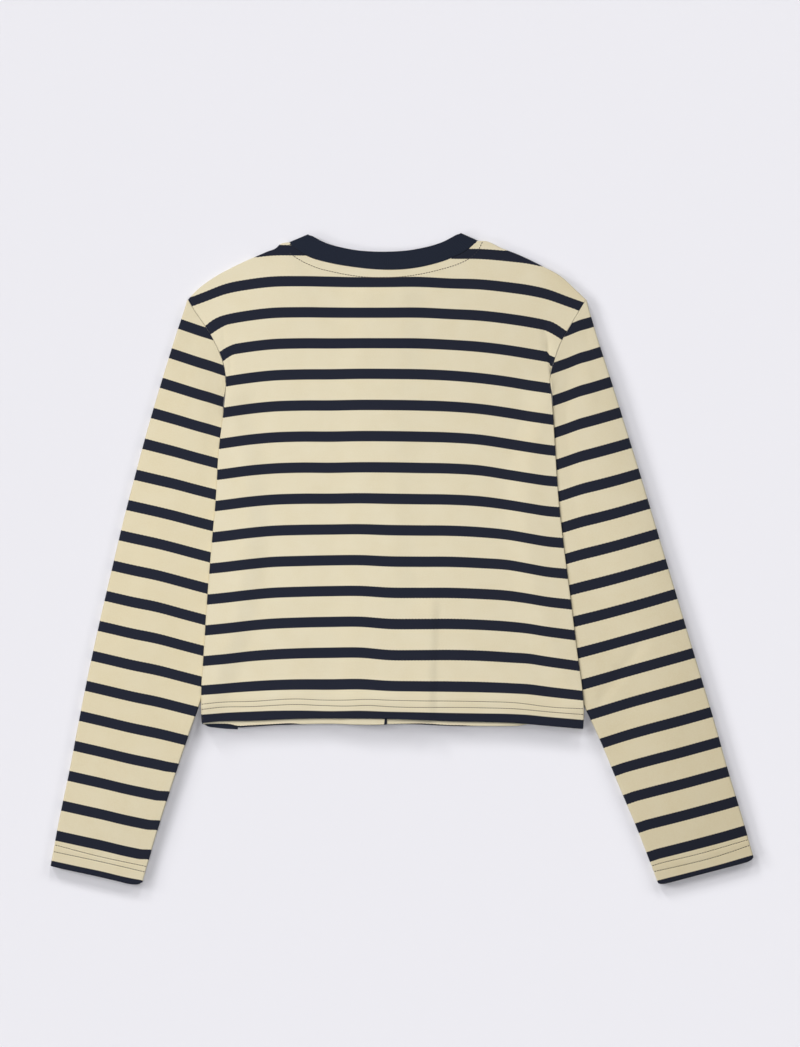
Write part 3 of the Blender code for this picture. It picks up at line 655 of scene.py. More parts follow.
# The two rows of stitching along the hem.
hemStitching = table(
    "x upper lower",
    (-201, -145.2, -150.5), (-182.5, -143.3, -148.3), (-151.5, -142.4, -147.6),
    (-101.5, -139.9, -145.5), (-81.5, -140.9, -146.4), (-56.5, -141, -147), (-31.5, -140.2, -146.3),
    (-16.5, -140.9, -147.3), (78.5, -142.5, -148.7), (112.5, -143.6, -149.7), (151.5, -148.2, -153.2),
    (183.5, -149.6, -155.5))
neckStitching = table(
    "x y",
    (-112, 306.2), (-106.8, 302.3), (-86.8, 292), (-67.2, 286.8), (-39.1, 282.2), (-13, 281.4),
    (18.5, 284.8), (38.5, 289.4), (56.1, 294.8), (66.8, 299.9), (77.8, 310.6), (81, 317.2))


def faintWaves(x, y):
    waves = np.sin(x / 17 + 1.3 * np.sin(y / 41)) * np.sin(y / 23 + 0.8 * np.sin(x / 33))
    return bodyCloth["unevenness"] * (waves + 0.6 * np.sin(x / 9.5 + y / 31 + 2) * np.sin(y / 14 - x / 37))


def evenly(points, cell):  # splits each stretch between the given points into even steps
    runs = []
    for a, b in zip(points[:-1], points[1:]):
        runs.append(np.linspace(a, b, max(1, round(abs(b - a) / cell)) + 1)[:-1])
    return np.concatenate(runs + [[points[-1]]])


columns = np.concatenate([  # finer beside the armholes, for the small folds there
    evenly([tipLeftX, tipLeftX + 22], 1.0)[:-1],
    evenly([tipLeftX + 22, neckLeftX, rightFrontEdge, lapCentre, leftFrontEdge, neckRightX, tipRightX - 26],
           bodyCloth["cell"])[:-1],
    evenly([tipRightX - 26, tipRightX], 1.0)])
rightFrontColumn = int(np.argmin(abs(columns - rightFrontEdge)))
leftFrontColumn = int(np.argmin(abs(columns - leftFrontEdge)))
columnLength = 482.0
# Rows as distances from the hem and from the top, finer where the stitching draws the cloth in.
hemRows = np.array([0, 1.6, 3, 5, 8, 10.5, *np.arange(12, 22.5, 0.8), 24.5]) / columnLength
topRows = 1 - np.array([16, 14, *np.arange(12.6, 9, -0.8), 8, 6, 4, 2, 0]) / columnLength
rowShares = np.concatenate([
    hemRows[:-1],
    evenly([hemRows[-1], underarmRow, topRows[0]], bodyCloth["cell"] / columnLength)[:-1],
    topRows])
rollSteps = 6


# Puts rows in from the first row of a plan, at these distances from it, and says how far each has rolled.
def rollIn(plan, insets, falls, channel):
    away = plan[1] - plan[0]
    away = away / np.linalg.norm(away[..., :2], axis=-1, keepdims=True)
    rows = []
    for inset, fall in zip(insets, falls):
        row = plan[0] + away * inset
        row[..., channel] = fall
        rows.append(row)
    return np.concatenate([np.array(rows), plan[1:]])


def hemGrooves(rows, y):  # how deep the stitching draws the cloth in
    return bodyCloth["grooveDepth"] * sum(bell((y - row) / bodyCloth["grooveHalf"]) for row in rows)


def hemDouble(upper, y):  # 1 where the cloth is turned up inside, 0 above the upper row of stitching
    half = bodyCloth["turnEnd"] / 2
    return ramp(y, upper + half, upper - half)


def hangs(x, share):  # how far a front hangs below its place, most of all at its hem
    return curve(frontHem, x, "drop") * (1 - share) ** 6


# A panel of the body, whose side and shoulder edges roll towards the layer that they are sewn to.
# The plan's channels are x, y, column, share, and the fall of its rows and columns.
def bodyPanel(name, first, last, front):
    leftSide, rightSide = first == 0, last == len(columns) - 1
    xTop = columns[first:last + 1]
    highest = np.ones(len(xTop))
    if front:
        neck = (xTop > neckLeftX) & (xTop < neckRightX)
        highest[neck] = shareAt(xTop[neck], frontNeckY(xTop[neck]))
    shares = rowShares[:, None] * highest
    plan = np.zeros(shares.shape + (6,))
    plan[..., :2] = bodyPoint(xTop, shares)
    plan[..., 2], plan[..., 3] = xTop, shares

    radius = (layerPitch - wall - hair) / 2
    angles = np.linspace(0, pi / 2, rollSteps + 1)
    edge = wall / 2 + hair / 2
    insets, falls = edge + radius * (1 - np.cos(angles)), 1 - np.sin(angles)

    plan[0, :, :4] += (plan[1, :, :4] - plan[0, :, :4]) * 0.6  # the hem's fold is round
    onShoulder = np.maximum(ramp(xTop, neckLeftX, neckLeftX - 8), ramp(xTop, neckRightX, neckRightX + 8))
    plan = rollIn(plan[::-1], insets, np.outer(falls, onShoulder), 4)[::-1].transpose(1, 0, 2)
    for side, isSewn in (("left", leftSide), ("right", rightSide)):
        if side == "right":
            plan = plan[::-1]
        if isSewn:
            belowArm = ramp(plan[0, :, 1], underarmY[side], underarmY[side] - 10)
            plan = rollIn(plan, insets, np.outer(falls, belowArm), 5)
        else:
            plan[0, :, :4] += (plan[1, :, :4] - plan[0, :, :4]) * 0.25
        if side == "right":
            plan = plan[::-1]
    x, y, wale, share, rowFall, columnFall = plan.transpose(2, 1, 0)

    fall = radius * np.maximum(rowFall, columnFall)
    if front:
        z = frontZ(x, y, leftSide) + fall
    else:
        z = backZ(x, y) - fall + faintWaves(x, y) * insideEdges(x, y)
    hemLine = curve(hem, x)
    fromHem = y - hemLine
    stripe = bodyStripe(x, y) * jersey["stripePitch"]
    if front:  # a little of the last navy stripe shows along the fold in places
        showing = curve(frontHem, x, "navy")
        turned = bodyLevels[-1] * jersey["stripePitch"] + jersey["navyWidth"] / 2 - showing + fromHem
    else:
        turned = 2 * bodyStripe(x, hemLine) * jersey["stripePitch"] - stripe
    upper = curve(hemStitching, x, "upper") - hemLine
    lower = curve(hemStitching, x, "lower") - hemLine
    drop = hangs(x, share) if front else 0
    middle = np.stack([x, y - drop, z], axis=-1)

    # Stitching draws two grooves into the hem, which is double up to the upper one.
    double = hemDouble(upper, fromHem)
    outside = wall / 2 - hemGrooves((upper, lower), fromHem)
    inside = wall / 2 + bodyCloth["hemInside"] * double
    if front:  # nothing swells between the two fronts
        swell = ramp(x - lapX(y) - lapHalf, 0, 8) if rightSide else 1.0
        inside = wall / 2 + bodyCloth["frontHemInside"] * double * swell
    else:
        middle[..., 2] += bodyCloth["hemLift"] * ramp(fromHem, upper + bodyCloth["hemSlope"], upper)
        underBand = (x > neckLeftX) & (x < neckRightX)
        row = bodyCloth["topstitch"]
        sunk = row["depth"] * bell((topY(x) - y - row["below"]) / row["half"]) * underBand
        outside = outside + bodyCloth["hemSwell"] * double - sunk
    # Painted shade towards the right shoulder's edge, where the light falls off.
    dark = bodyCloth["paintedShoulderShade"]
    paintedShade = ramp(topY(x) - y, dark["deep"], 0) * ramp(x, *dark["x"])
    knitOutside = np.stack([wale, stripe, paintedShade], axis=-1)
    inner = np.where(fromHem < upper, turned, stripe)
    if front:  # the navy turns over the front edge with the cloth, and its dark line also stands in as painted shade for the gap between the fronts
        edgeColumn = -1 if leftSide else 0
        inner[:, edgeColumn] = stripe[:, edgeColumn]
    knitInside = np.stack([wale, inner, np.zeros_like(x)], axis=-1)
    sewn = ramp(y, 165, 177)
    if front:
        return clothShell(name, middle, inside, outside, knitInside, knitOutside, jerseyCloth, sewn=sewn)
    return clothShell(name, middle, outside, inside, knitOutside, knitInside, jerseyCloth, sewn=sewn)


back = bodyPanel("back_jersey", 0, len(columns) - 1, front=False)
frontLeft = bodyPanel("front_left_jersey", 0, leftFrontColumn, front=True)
frontRight = bodyPanel("front_right_jersey", rightFrontColumn, len(columns) - 1, front=True)
print("body panels made")


sleeveCloth = {
    "cell": 2.6,
    "length": 583.0,
    "puff": 1.5,  # how far the upper layer stands off the lower one
    "foldLoft": 0.5,  # and how much of that the folds keep
    "waleSpan": 108.0,  # width over which the wales are counted
    "hemSwell": 0.25,
    "hemInside": 0.3,
    "outerRoll": {"left": 0.0, "right": 1.3},  # how far the upper layer rolls down to its outer fold
    # Painted shade: how far the cream is darkened, from armhole to cuff, where the light falls off over the
    # sleeves.
    "paintedShade": {"left": [0.6, 0.8, 1.0, 0.9, 0.2], "right": [0.0, 0.05, 0.25, 0.6, 0.45]},
}
# How far the cuff's edge bows out past a straight line, from its outer to its inner corner.
cuffBow = {
    "left": table(
        "across bow",
        (0, 0), (0.15, 0.8), (0.5, 1.5), (0.7, 2.3), (0.85, 3.1), (0.9, 2.9), (0.95, 2), (0.98, 0.7),
        (1, -1.6)),
    "right": table(
        "across bow",
        (0, -0.3), (0.02, 1.6), (0.06, 2.6), (0.15, 2.9), (0.5, 2.6), (0.88, 2.4), (0.94, 2.1),
        (0.98, 1.2), (1, 0))}
cuffCurl = {"left": 1.6, "right": -0.8}  # how far the stripes turn up where they reach the inner fold
cuffStitching = {
    "left": {
        "upper": table("x y", (-346.4, -285.9), (-306.7, -296.3), (-255.1, -307.5)),
        "lower": table("x y", (-347.9, -292.6), (-297.7, -303.3), (-256.6, -312.9))},
    "right": {
        "upper": table(
            "x y",
            (250.5, -306.9), (258.5, -304.3), (267.7, -302), (296.8, -295), (346.4, -280.7)),
        "lower": table(
            "x y",
            (252.6, -312.5), (258.5, -311.2), (280.2, -306.4), (313.5, -298), (348.1, -286.4))}}
# Soft folds of the sleeves' upper layers, troughs where the height is negative.
sleeveCreases = {
    "left": table(
        "x0 y0 x1 y1 left right height",
        (-196, 150, -206, 20, 12, 12, 0.5),
        (-205, 225, -222, 170, 9, 9, -0.35),
        (-262, 20, -285, -70, 16, 16, -0.3),
        (-240, -90, -262, -190, 18, 18, 0.3)),
    "right": table(
        "x0 y0 x1 y1 left right height",
        (238, -86, 203, -136, 10, 10, -0.9),
        (186, 225, 200, 165, 9, 9, -0.45),
        (172, 150, 188, 20, 12, 12, 0.4),
        (262, 10, 292, -90, 18, 18, -0.3),
        (256, -150, 290, -230, 18, 18, 0.3))}


def cuffLine(side, row, x):
    return curve(cuffStitching[side][row], x)


# A flattened tube from the armhole to the cuff, its two folds rolled and both ends open.
# The plan's channels are x, y, the share across, the rise of its folds and the share along.
def sleeveTube(name, side):
    rows = sleeveSections[side]
    outward = -1 if side == "left" else 1
    stations = np.linspace(0, 1, len(rows["outerX"]))
    across = evenly([0, 1], sleeveCloth["cell"] / sleeveCloth["waleSpan"])
    armhole = sidePoint(side, 1 - across * (1 - underarmRow))
    seam = np.gradient(armhole, axis=0)
    normal = np.stack([seam[:, 1], -seam[:, 0]], axis=1) * -outward
    armhole = armhole + unit(normal) * (wall / 2 + hair / 2)
    bow = armhole - (armhole[0] + across[:, None] * (armhole[-1] - armhole[0]))

    cuff = 1 - np.array([*np.arange(24, 10, -0.8), 8.5, 6, 4, 2, 0.9]) / sleeveCloth["length"]
    alongs = np.concatenate([evenly([0, cuff[0]], sleeveCloth["cell"] / sleeveCloth["length"])[:-1], cuff])
    plan = np.zeros((len(across), len(alongs), 5))
    for i, along in enumerate(alongs):
        settle = max(0, 1 - along / 0.03)
        folds = []
        for fold, corner in (("outer", armhole[0]), ("inner", armhole[-1])):
            at, first = np.array([
                [through(stations, rows[fold + axis], along), rows[fold + axis][0]] for axis in "XY"]).T
            folds.append(at + (corner - first) * settle)
        outer, inner = folds
        plan[:, i, :2] = outer + across[:, None] * (inner - outer) + bow * (1 - along) ** 3
        axis = np.array([inner[1] - outer[1], outer[0] - inner[0]]) * outward
        axis /= -np.linalg.norm(axis)
        reach = np.interp(across, cuffBow[side]["across"], cuffBow[side]["bow"])
        plan[:, i, :2] += axis * reach[:, None] * ramp(along, 0.9, 1)
    plan[..., 2], plan[..., 3], plan[..., 4] = across[:, None], 1, alongs

    radius = layerPitch / 2
    angles = np.linspace(0, pi / 2, rollSteps + 1)
    insets, rises = wall / 2 + radius * (1 - np.cos(angles)), np.sin(angles)
    plan = rollIn(plan, insets, rises, 3)
    plan = rollIn(plan[::-1], insets, rises, 3)[::-1]
    x, y, share, rise, along = plan.transpose(2, 1, 0)

    middle = wall / 2 + radius + tuckLift(x, y) * ramp(along, 0.06, 0)
    reach = 0.6 + 0.4 * ramp(along, 0.68, 0.8)
    ends = ramp(along, 0.04, 0.18) * (0.1 + 0.9 * ramp(along, 1, 0.88))
    puff = sleeveCloth["puff"] * np.sin(pi * np.clip(share / reach, 0, 1)) * ends
    roll = (1 - np.clip(1 - share / 0.17, 0, 1) ** 2) * ramp(share, 0.62, 0.24)
    puff += sleeveCloth["outerRoll"][side] * roll * ramp(along, 0.06, 0.18) * ramp(along, 0.82, 0.57)
    inside = ramp(share, 0, 0.15) * ramp(share, 1, 0.85) * ramp(along, 0, 0.05)
    relief = (creasesAt(sleeveCreases[side], x, y) + faintWaves(x, y)) * inside
    crest = middle + rise * (radius + sleeveCloth["foldLoft"] * ends) + puff + relief
    upper = np.stack([x, y, crest], axis=-1)
    lower = np.stack([x, y, middle - rise * radius], axis=-1)
    curl = cuffCurl[side] * ramp(share, 0.88, 1) * ramp(along, 0.75, 0.85) * ramp(along, 1, 0.97)
    stripe = sleeveStripe(side, x, y - curl) * jersey["stripePitch"]
    wale = share * sleeveCloth["waleSpan"]

    def around(above, below):  # from the outer fold over the upper layer and back under it
        return np.concatenate([above, below[:, -2:0:-1]], axis=1)

    stitched = [cuffLine(side, row, x) for row in ("upper", "lower")]
    double = hemDouble(stitched[0], y)
    outside = wall / 2 - hemGrooves(stitched, y)
    points = around(upper, lower)
    up = around(outside + sleeveCloth["hemSwell"] * double * rise, outside)
    inner = wall / 2 + sleeveCloth["hemInside"] * double
    down = around(inner, inner)
    # painted shade along the sleeve, carried in the knit attribute
    paintedShade = np.interp(along, np.linspace(0, 1, 5), sleeveCloth["paintedShade"][side])
    knit = np.stack([around(wale, -wale), around(stripe, stripe), around(paintedShade, paintedShade)], axis=-1)
    if side == "left":
        points, up, down, knit = points[::-1], up[::-1], down[::-1], knit[::-1]
    sewn = np.broadcast_to((alongs < 0.5)[:, None].astype(float), up.shape)
    return clothShell(name, points, up, down, knit, knit, jerseyCloth, closed=True, sewn=sewn)


sleeveLeft = sleeveTube("sleeve_left_jersey", "left")
sleeveRight = sleeveTube("sleeve_right_jersey", "right")
print("sleeves made")


neckband = {
    "cell": 0.42,  # along the band, fine enough for its ribs
    "ribPitch": 2.2,
    "ribDepth": 0.10,
    "acrossSteps": 14,
    "seamSink": 0.12,  # how much thinner it is where it is sewn on
    "footDrop": 1.4,  # how far its folds reach down past the seam
    "cornerReach": {"left": (-1.9, 0.5), "right": (0.85, 1.25)},  # how far its folded corners stick out
}


def bandPath():  # foot, tip and height of the band, from one front edge over both shoulders to the other
    heights = {"back": wall / 2 + layerPitch, "front": bandWall / 2}
    radius = (heights["back"] - heights["front"]) / 2
    neckX = columns[(columns > neckLeftX - 0.01) & (columns < neckRightX + 0.01)]
    inset = bandWall / 2 + hair / 2

    def offset(seam, sign, reach):
        run = np.gradient(seam, axis=0)
        inward = unit(np.stack([-run[:, 1], run[:, 0]], axis=1) * sign)
        return seam + inward * reach, inward

    seam = np.stack([neckX, topY(neckX)], axis=1)
    seam[0], seam[-1] = (backNeck["x"][0], backNeck["y"][0]), (backNeck["x"][-1], backNeck["y"][-1])
    feet, _ = offset(seam, 1, inset)
    tipX = np.interp(neckX, [neckLeftX, neckRightX], bandTop["x"][[0, -1]])
    tips = np.stack([tipX, curve(bandTop, tipX)], axis=1)
    tips -= unit(tips - feet) * bandWall / 2
    behind = [(foot, tip, heights["back"]) for foot, tip in zip(feet, tips)][2:-2]

    folds = {}
    for side, end, sign in (("left", 0, -1), ("right", -1, 1)):
        corner, peak = seam[end], np.array([bandTop["x"][end], bandTop["y"][end]])
        fold = unit(peak - corner)
        out = np.array([-fold[1], fold[0]]) * -sign
        turns = []
        for angle in np.linspace(pi / 2, -pi / 2, 13):
            shift = out * (radius * cos(angle) - radius - bandWall / 2)
            foot = corner + fold * (inset - neckband["footDrop"]) + shift + neckband["cornerReach"][side]
            tip = peak - fold * bandWall / 2 + shift
            turns.append((foot, tip, heights["front"] + radius * (1 + sin(angle))))
        folds[side] = turns

    fronts = {}
    for side, sign in (("left", 1), ("right", -1)):
        if side == "left":
            xTop = neckX[neckX < leftFrontEdge + 0.01]
        else:
            xTop = neckX[neckX > rightFrontEdge - 0.01][::-1]
        seam = bodyPoint(xTop, shareAt(xTop, frontNeckY(xTop)))
        feet, inward = offset(seam, sign, inset)
        tips = feet + inward * (bandWidth - bandWall)
        x, y = feet.T
        lift = frontZ(x, y, side == "left") - wall / 2 - tuckLift(x, y)
        fronts[side] = [(foot, tip, heights["front"] + up) for foot, tip, up in zip(feet, tips, lift)][2:]
    return fronts["left"][::-1] + folds["left"][::-1] + behind + folds["right"] + fronts["right"]


def smooth(line, reach):  # a running mean that keeps the ends
    padded = np.concatenate([np.full(reach, line[0]), line, np.full(reach, line[-1])])
    kernel = np.ones(2 * reach + 1) / (2 * reach + 1)
    mean = np.convolve(padded, kernel, mode="valid")
    fade = ease(np.minimum(np.arange(len(line)), np.arange(len(line))[::-1]) / (2 * reach))
    return line + (mean - line) * fade


def neckbandStrip():
    path = bandPath()
    feet, tips = np.array([p[0] for p in path]), np.array([p[1] for p in path])
    heights = np.array([p[2] for p in path])
    centres = np.column_stack([(feet + tips) / 2, heights])
    run = runAlong(centres)
    s = evenly([0, run[-1]], neckband["cell"])
    lines = [np.interp(s, run, values) for values in (*feet.T, *tips.T, heights)]
    footX, footY, peakX, peakY, height = (smooth(line, 5) for line in lines)
    t = np.linspace(0, 1, neckband["acrossSteps"])
    middle = np.stack([
        footX[:, None] + (peakX - footX)[:, None] * t,
        footY[:, None] + (peakY - footY)[:, None] * t,
        np.broadcast_to(height[:, None], (len(s), len(t)))], axis=-1)
    ribs = neckband["ribDepth"] * (np.cos(2 * pi * s / neckband["ribPitch"]) - 1)
    half = bandWall / 2 + ribs[:, None] - neckband["seamSink"] * bell(t / 0.25)[None, :]
    along, across = np.broadcast_to(s[:, None], half.shape), np.broadcast_to(t * bandWidth, half.shape)
    knit = np.stack([along, across, half * 0], axis=-1)
    return clothShell("neckband_rib", middle, half, half, knit, knit, ribCloth)


collar = neckbandStrip()
print("neckband made")


sewing = {
    "pitch": 2.7,  # from one stitch to the next
    "length": 2.35,
    "radius": 0.4,
    "rise": 0.35,  # how far a stitch's middle stands off the cloth, in radii
    "under": 0.28,  # radius of those underneath, which are pressed into the cloth
    "underRise": -0.7,
    "fromEdge": 3.0,  # of the rows down the front edges
    "sides": 6,
    "steepest": 2.6,  # no stitch crosses a higher step
}


def heightReader(piece, fromAbove):  # gives a piece's height at x, y, seen from above or from below
    mesh = piece.data
    points = np.zeros(len(mesh.vertices) * 3)
    mesh.vertices.foreach_get("co", points)
    corners = np.zeros(len(mesh.loops), int)
    mesh.loops.foreach_get("vertex_index", corners)
    tree = BVHTree.FromPolygons((points.reshape(-1, 3) / mm).tolist(), corners.reshape(-1, 4).tolist())
    start, down = (60.0, -1.0) if fromAbove else (-60.0, 1.0)

    def heightAt(x, y):
        hit = tree.ray_cast((x, y, start), (0, 0, down))[0]
        return None if hit is None else hit.z

    return heightAt


def tubeFaces(first, rings, sides):  # a closed tube whose rings of points follow each other
    faces = []
    for low in range(first, first + (rings - 1) * sides, sides):
        for i in range(sides):
            j = (i + 1) % sides
            faces.append((low + i, low + j, low + sides + j, low + sides + i))
    last = first + (rings - 1) * sides
    return faces + [tuple(range(first + sides - 1, first - 1, -1)), tuple(range(last, last + sides))]


# Threads laid on the cloth, each from one plan point to another, its ends sunk into the cloth.
def layThreads(name, stitches, heightAt, fromAbove, material, radius=None):
    up = 1 if fromAbove else -1
    radius = radius or sewing["radius" if fromAbove else "under"]
    rise = sewing["rise" if fromAbove else "underRise"]
    shares = np.array([0, 0.16, 0.5, 0.84, 1])
    widths = radius * np.array([0.5, 0.95, 1.0, 0.95, 0.5])
    sinks = radius * np.array([-1.4, rise - 0.35, rise, rise - 0.35, -1.4])
    turns = np.arange(sewing["sides"]) * 2 * pi / sewing["sides"]
    vertices, faces = [], []
    for start, end in stitches:
        start, end = np.asarray(start), np.asarray(end)
        heights = [heightAt(*(start + (end - start) * share)) for share in (0, 0.5, 1)]
        if None in heights or max(heights) - min(heights) > sewing["steepest"]:
            continue
        along = unit(end - start)
        side = np.array([-along[1], along[0], 0]) * up
        faces += tubeFaces(len(vertices), len(shares), sewing["sides"])
        for share, width, sink in zip(shares, widths, sinks):
            height = np.interp(share, (0, 0.5, 1), heights) + up * sink
            centre = np.array([*(start + (end - start) * share), height])
            for turn in turns:
                vertices.append(centre + width * (cos(turn) * side + sin(turn) * np.array([0, 0, up])))
    return addMesh(name, vertices, faces, material)


def runningStitch(*routes):  # the ends of each stitch, which fill each route from end to end
    stitches = []
    for route in routes:
        route = np.asarray(route, float)
        run = runAlong(route)
        last = run[-1] - sewing["length"]
        for s in np.linspace(0, last, round(last / sewing["pitch"]) + 1):
            span = [s, s + sewing["length"]]
            stitches.append(np.stack([np.interp(span, run, route[:, axis]) for axis in (0, 1)], axis=1))
    return stitches


def hemRoutes(xStart, xEnd, drop=0.0):
    x = np.linspace(xStart, xEnd, 160)
    fall = drop * hangs(x, bodyCloth["hemDepth"] / columnLength)
    return [np.stack([x, curve(hemStitching, x, row) - fall], axis=1) for row in ("upper", "lower")]


def neckRoute(first, last):  # the topstitched row below the neckband
    x = np.linspace(first, last, 120)
    return np.stack([x, curve(neckStitching, x)], axis=1)


def frontNeckRoute(first, last):  # a row as far below the front neck's seam
    xTop = np.linspace(first, last, 60)
    seam = bodyPoint(xTop, shareAt(xTop, frontNeckY(xTop)))
    run = np.gradient(seam, axis=0)
    outward = unit(np.stack([run[:, 1], -run[:, 0]], axis=1))
    return seam + outward * bodyCloth["topstitch"]["below"]


def frontEdgeRoute(edge, inward):  # a plain row beside the front edge, from above the hem to below the neck
    xTop = edge + sewing["fromEdge"] * inward
    shares = np.linspace(0.045, shareAt(np.array(xTop), frontNeckY(np.array(xTop))) - 0.03, 60)
    return bodyPoint(np.full(60, xTop), shares)


def cuffRoutes(side):
    routes = []
    for row in ("upper", "lower"):
        x = np.linspace(*cuffStitching[side][row]["x"][[0, -1]], 60)
        routes.append(np.stack([x, cuffLine(side, row, x)], axis=1))
    return routes


backTop = heightReader(back, fromAbove=True)
for name, routes, material in (
        ("hem_stitching_back", hemRoutes(-199.9, 181.6), seamThread),
        ("neck_stitching_back", [neckRoute(-107.6, 67.4)], seamThread),
        ("neck_stitching_end", [neckRoute(77.4, 81.0)], cuffThread),
        ("neck_stitching_navy", [neckRoute(-112, -107.6), neckRoute(67.4, 77.4)], navyThread)):
    layThreads(name, runningStitch(*routes), backTop, True, material)
for piece, side, edge, inward, neckX in (
        (frontLeft, "left", leftFrontEdge, -1, (neckLeftX + 1, leftFrontEdge)),
        (frontRight, "right", rightFrontEdge, 1, (rightFrontEdge, neckRightX - 1))):
    under = heightReader(piece, fromAbove=False)
    xEdge = float(bodyPoint(edge, 0.04)[0])
    hemEnds = (-198.5, xEdge - 2) if side == "left" else (xEdge + 2, 180.5)
    edgeRow = frontEdgeRoute(edge, inward)
    rows = runningStitch(*hemRoutes(*hemEnds, drop=1.0), frontNeckRoute(*neckX), edgeRow)
    layThreads(f"front_{side}_stitching", rows, under, False, seamThread)
for piece, side in ((sleeveLeft, "left"), (sleeveRight, "right")):
    rows = runningStitch(*cuffRoutes(side))
    for fromAbove, layer in ((True, "upper"), (False, "lower")):
        reader = heightReader(piece, fromAbove)
        layThreads(f"cuff_{side}_stitching_{layer}", rows, reader, fromAbove, cuffThread)
print("sewing made")


# The end of the seam tape that peeks out under the hem's left corner.
hemTape = {"thick": 0.3, "height": 0.2, "top": -160.2}
hemTapeEdge = table(
    "x y",
    (-199, -164), (-194.5, -167), (-185.5, -168.6), (-173.5, -169.8), (-163.9, -170.3))


def tapeEnd():
    x = np.linspace(*hemTapeEdge["x"][[0, -1]], 30)
    low = curve(hemTapeEdge, x)
    t = np.linspace(0, 1, 10)[:, None]
    y = low + (hemTape["top"] - low) * t
    xs = np.broadcast_to(x, y.shape)
    z = np.full(y.shape, hemTape["height"])
    half = np.full(y.shape, hemTape["thick"] / 2)
    knit = np.stack([xs, y, half * 0], axis=-1)
    return clothShell("hem_tape", np.stack([xs, y, z], axis=-1), half, half, knit, knit, ribCloth)


tape = tapeEnd()


buttonSizes = {
    "count": 6, "firstY": 216.0, "pitch": 70.0, "holeRadius": 0.75, "holeOffset": 1.5, "steps": 48}
# The button's section from its face, which lies on the floor, round its rim to its back.
buttonSection = table(
    "radius z",
    (0, 0.62), (2.9, 0.62), (3.5, 0.5), (4, 0.22), (4.5, 0.06), (5.1, 0.02), (5.7, 0.12), (6.15, 0.4),
    (6.4, 0.85), (6.35, 1.25), (6, 1.62), (5.2, 1.86), (3.6, 1.98), (0, 2))
buttonhole = {"half": 7.0, "pitch": 0.55, "slit": 0.25, "width": 1.45, "barY": 7.6, "barHalf": 1.4}
buttonSewing = {"thread": 0.2, "lane": 0.22, "turns": 7, "coil": 0.75, "foot": 2.1, "height": 1.7}


def turnedButton():
    steps = buttonSizes["steps"]
    turns = np.arange(steps) * 2 * pi / steps
    vertices = [(0, 0, buttonSection["z"][0])]
    for radius, z in zip(buttonSection["radius"][1:-1], buttonSection["z"][1:-1]):
        vertices += [(radius * cos(turn), radius * sin(turn), z) for turn in turns]
    vertices.append((0, 0, buttonSection["z"][-1]))
    last, rings = len(vertices) - 1, len(buttonSection["z"]) - 2
    faces = tubeFaces(1, rings, steps)[:-2]
    for i in range(steps):
        j = (i + 1) % steps
        faces += [(0, 1 + j, 1 + i), (last - steps + i, last - steps + j, last)]
    return vertices, faces


def drilledButton(name, x, y):
    vertices, faces = turnedButton()
    piece = addMesh(name, vertices, faces, resin)
    offset = buttonSizes["holeOffset"]
    for sx, sy in ((1, 1), (-1, 1), (-1, -1), (1, -1)):  # a drill right through for each hole
        bpy.ops.mesh.primitive_cylinder_add(
            vertices=20, radius=buttonSizes["holeRadius"] * mm, depth=8 * mm,
            location=(sx * offset * mm, sy * offset * mm, mm))
        drill = bpy.context.object
        cut = piece.modifiers.new("hole", "BOOLEAN")
        cut.operation, cut.object = "DIFFERENCE", drill
        bpy.context.view_layer.update()
        mesh = bpy.data.meshes.new_from_object(piece.evaluated_get(bpy.context.evaluated_depsgraph_get()))
        piece.modifiers.clear()
        piece.data = mesh
        bpy.data.objects.remove(drill)
    mesh.transform(Matrix.Translation((x * mm, y * mm, 0)))
    mesh.shade_smooth()
    mesh.set_sharp_from_angle(angle=radians(40))
    return piece


def tubeAlong(points, radius, sides=8):  # a closed round tube through these points
    points = np.asarray(points, float)
    run = unit(np.gradient(points, axis=0))
    across = unit(np.cross(run, (0.3, 0.9, 0.2)))
    third = np.cross(run, across)
    turns = np.arange(sides) * 2 * pi / sides
    vertices = []
    for point, u, v in zip(points, across, third):
        vertices += [point + radius * (cos(turn) * u + sin(turn) * v) for turn in turns]
    return vertices, tubeFaces(0, len(points), sides)


def joinShapes(shapes):
    vertices, faces = [], []
    for points, loops in shapes:
        faces += [tuple(i + len(vertices) for i in loop) for loop in loops]
        vertices += list(points)
    return vertices, faces


def buttonThread(name, x, y):  # two bars across the face, down the holes, and a wound shank behind
    offset, shapes = buttonSizes["holeOffset"], []
    for sx in (1, -1):
        for lane in (-buttonSewing["lane"], buttonSewing["lane"]):
            at = sx * offset + lane
            path = [(at, offset * 0.95, 1.9), (at, offset * 0.9, 0.75), (at, offset * 0.6, 0.42)]
            path += [(at, 0, 0.36)] + [(px, -py, pz) for px, py, pz in path[::-1]]
            shapes.append(tubeAlong(path, buttonSewing["thread"]))
    turns, wound = np.linspace(0, buttonSewing["turns"] * 2 * pi, 90), buttonSewing["coil"]
    coil = [(wound * cos(turn), wound * sin(turn), buttonSewing["foot"]) for turn in turns]
    coil = np.array(coil) + np.linspace(0, 1, len(coil))[:, None] * (0, 0, buttonSewing["height"])
    shapes.append(tubeAlong(coil, buttonSewing["thread"], sides=6))
    vertices, faces = joinShapes(shapes)
    return addMesh(name, np.array(vertices) + (x, y, 0), faces, navyThread)


def buttonholeStitches(y):  # satin stitches down both sides of the slit, and a bar at each end
    x, stitches = lapX(y), []
    for step in np.arange(-buttonhole["half"], buttonhole["half"] + 0.01, buttonhole["pitch"]):
        for side in (-1, 1):
            near, far = x + side * buttonhole["slit"], x + side * buttonhole["width"]
            stitches.append(((near, y + step), (far, y + step)))
    for end in (y - buttonhole["barY"], y + buttonhole["barY"]):
        stitches.append(((x - buttonhole["barHalf"], end), (x + buttonhole["barHalf"], end)))
    return stitches


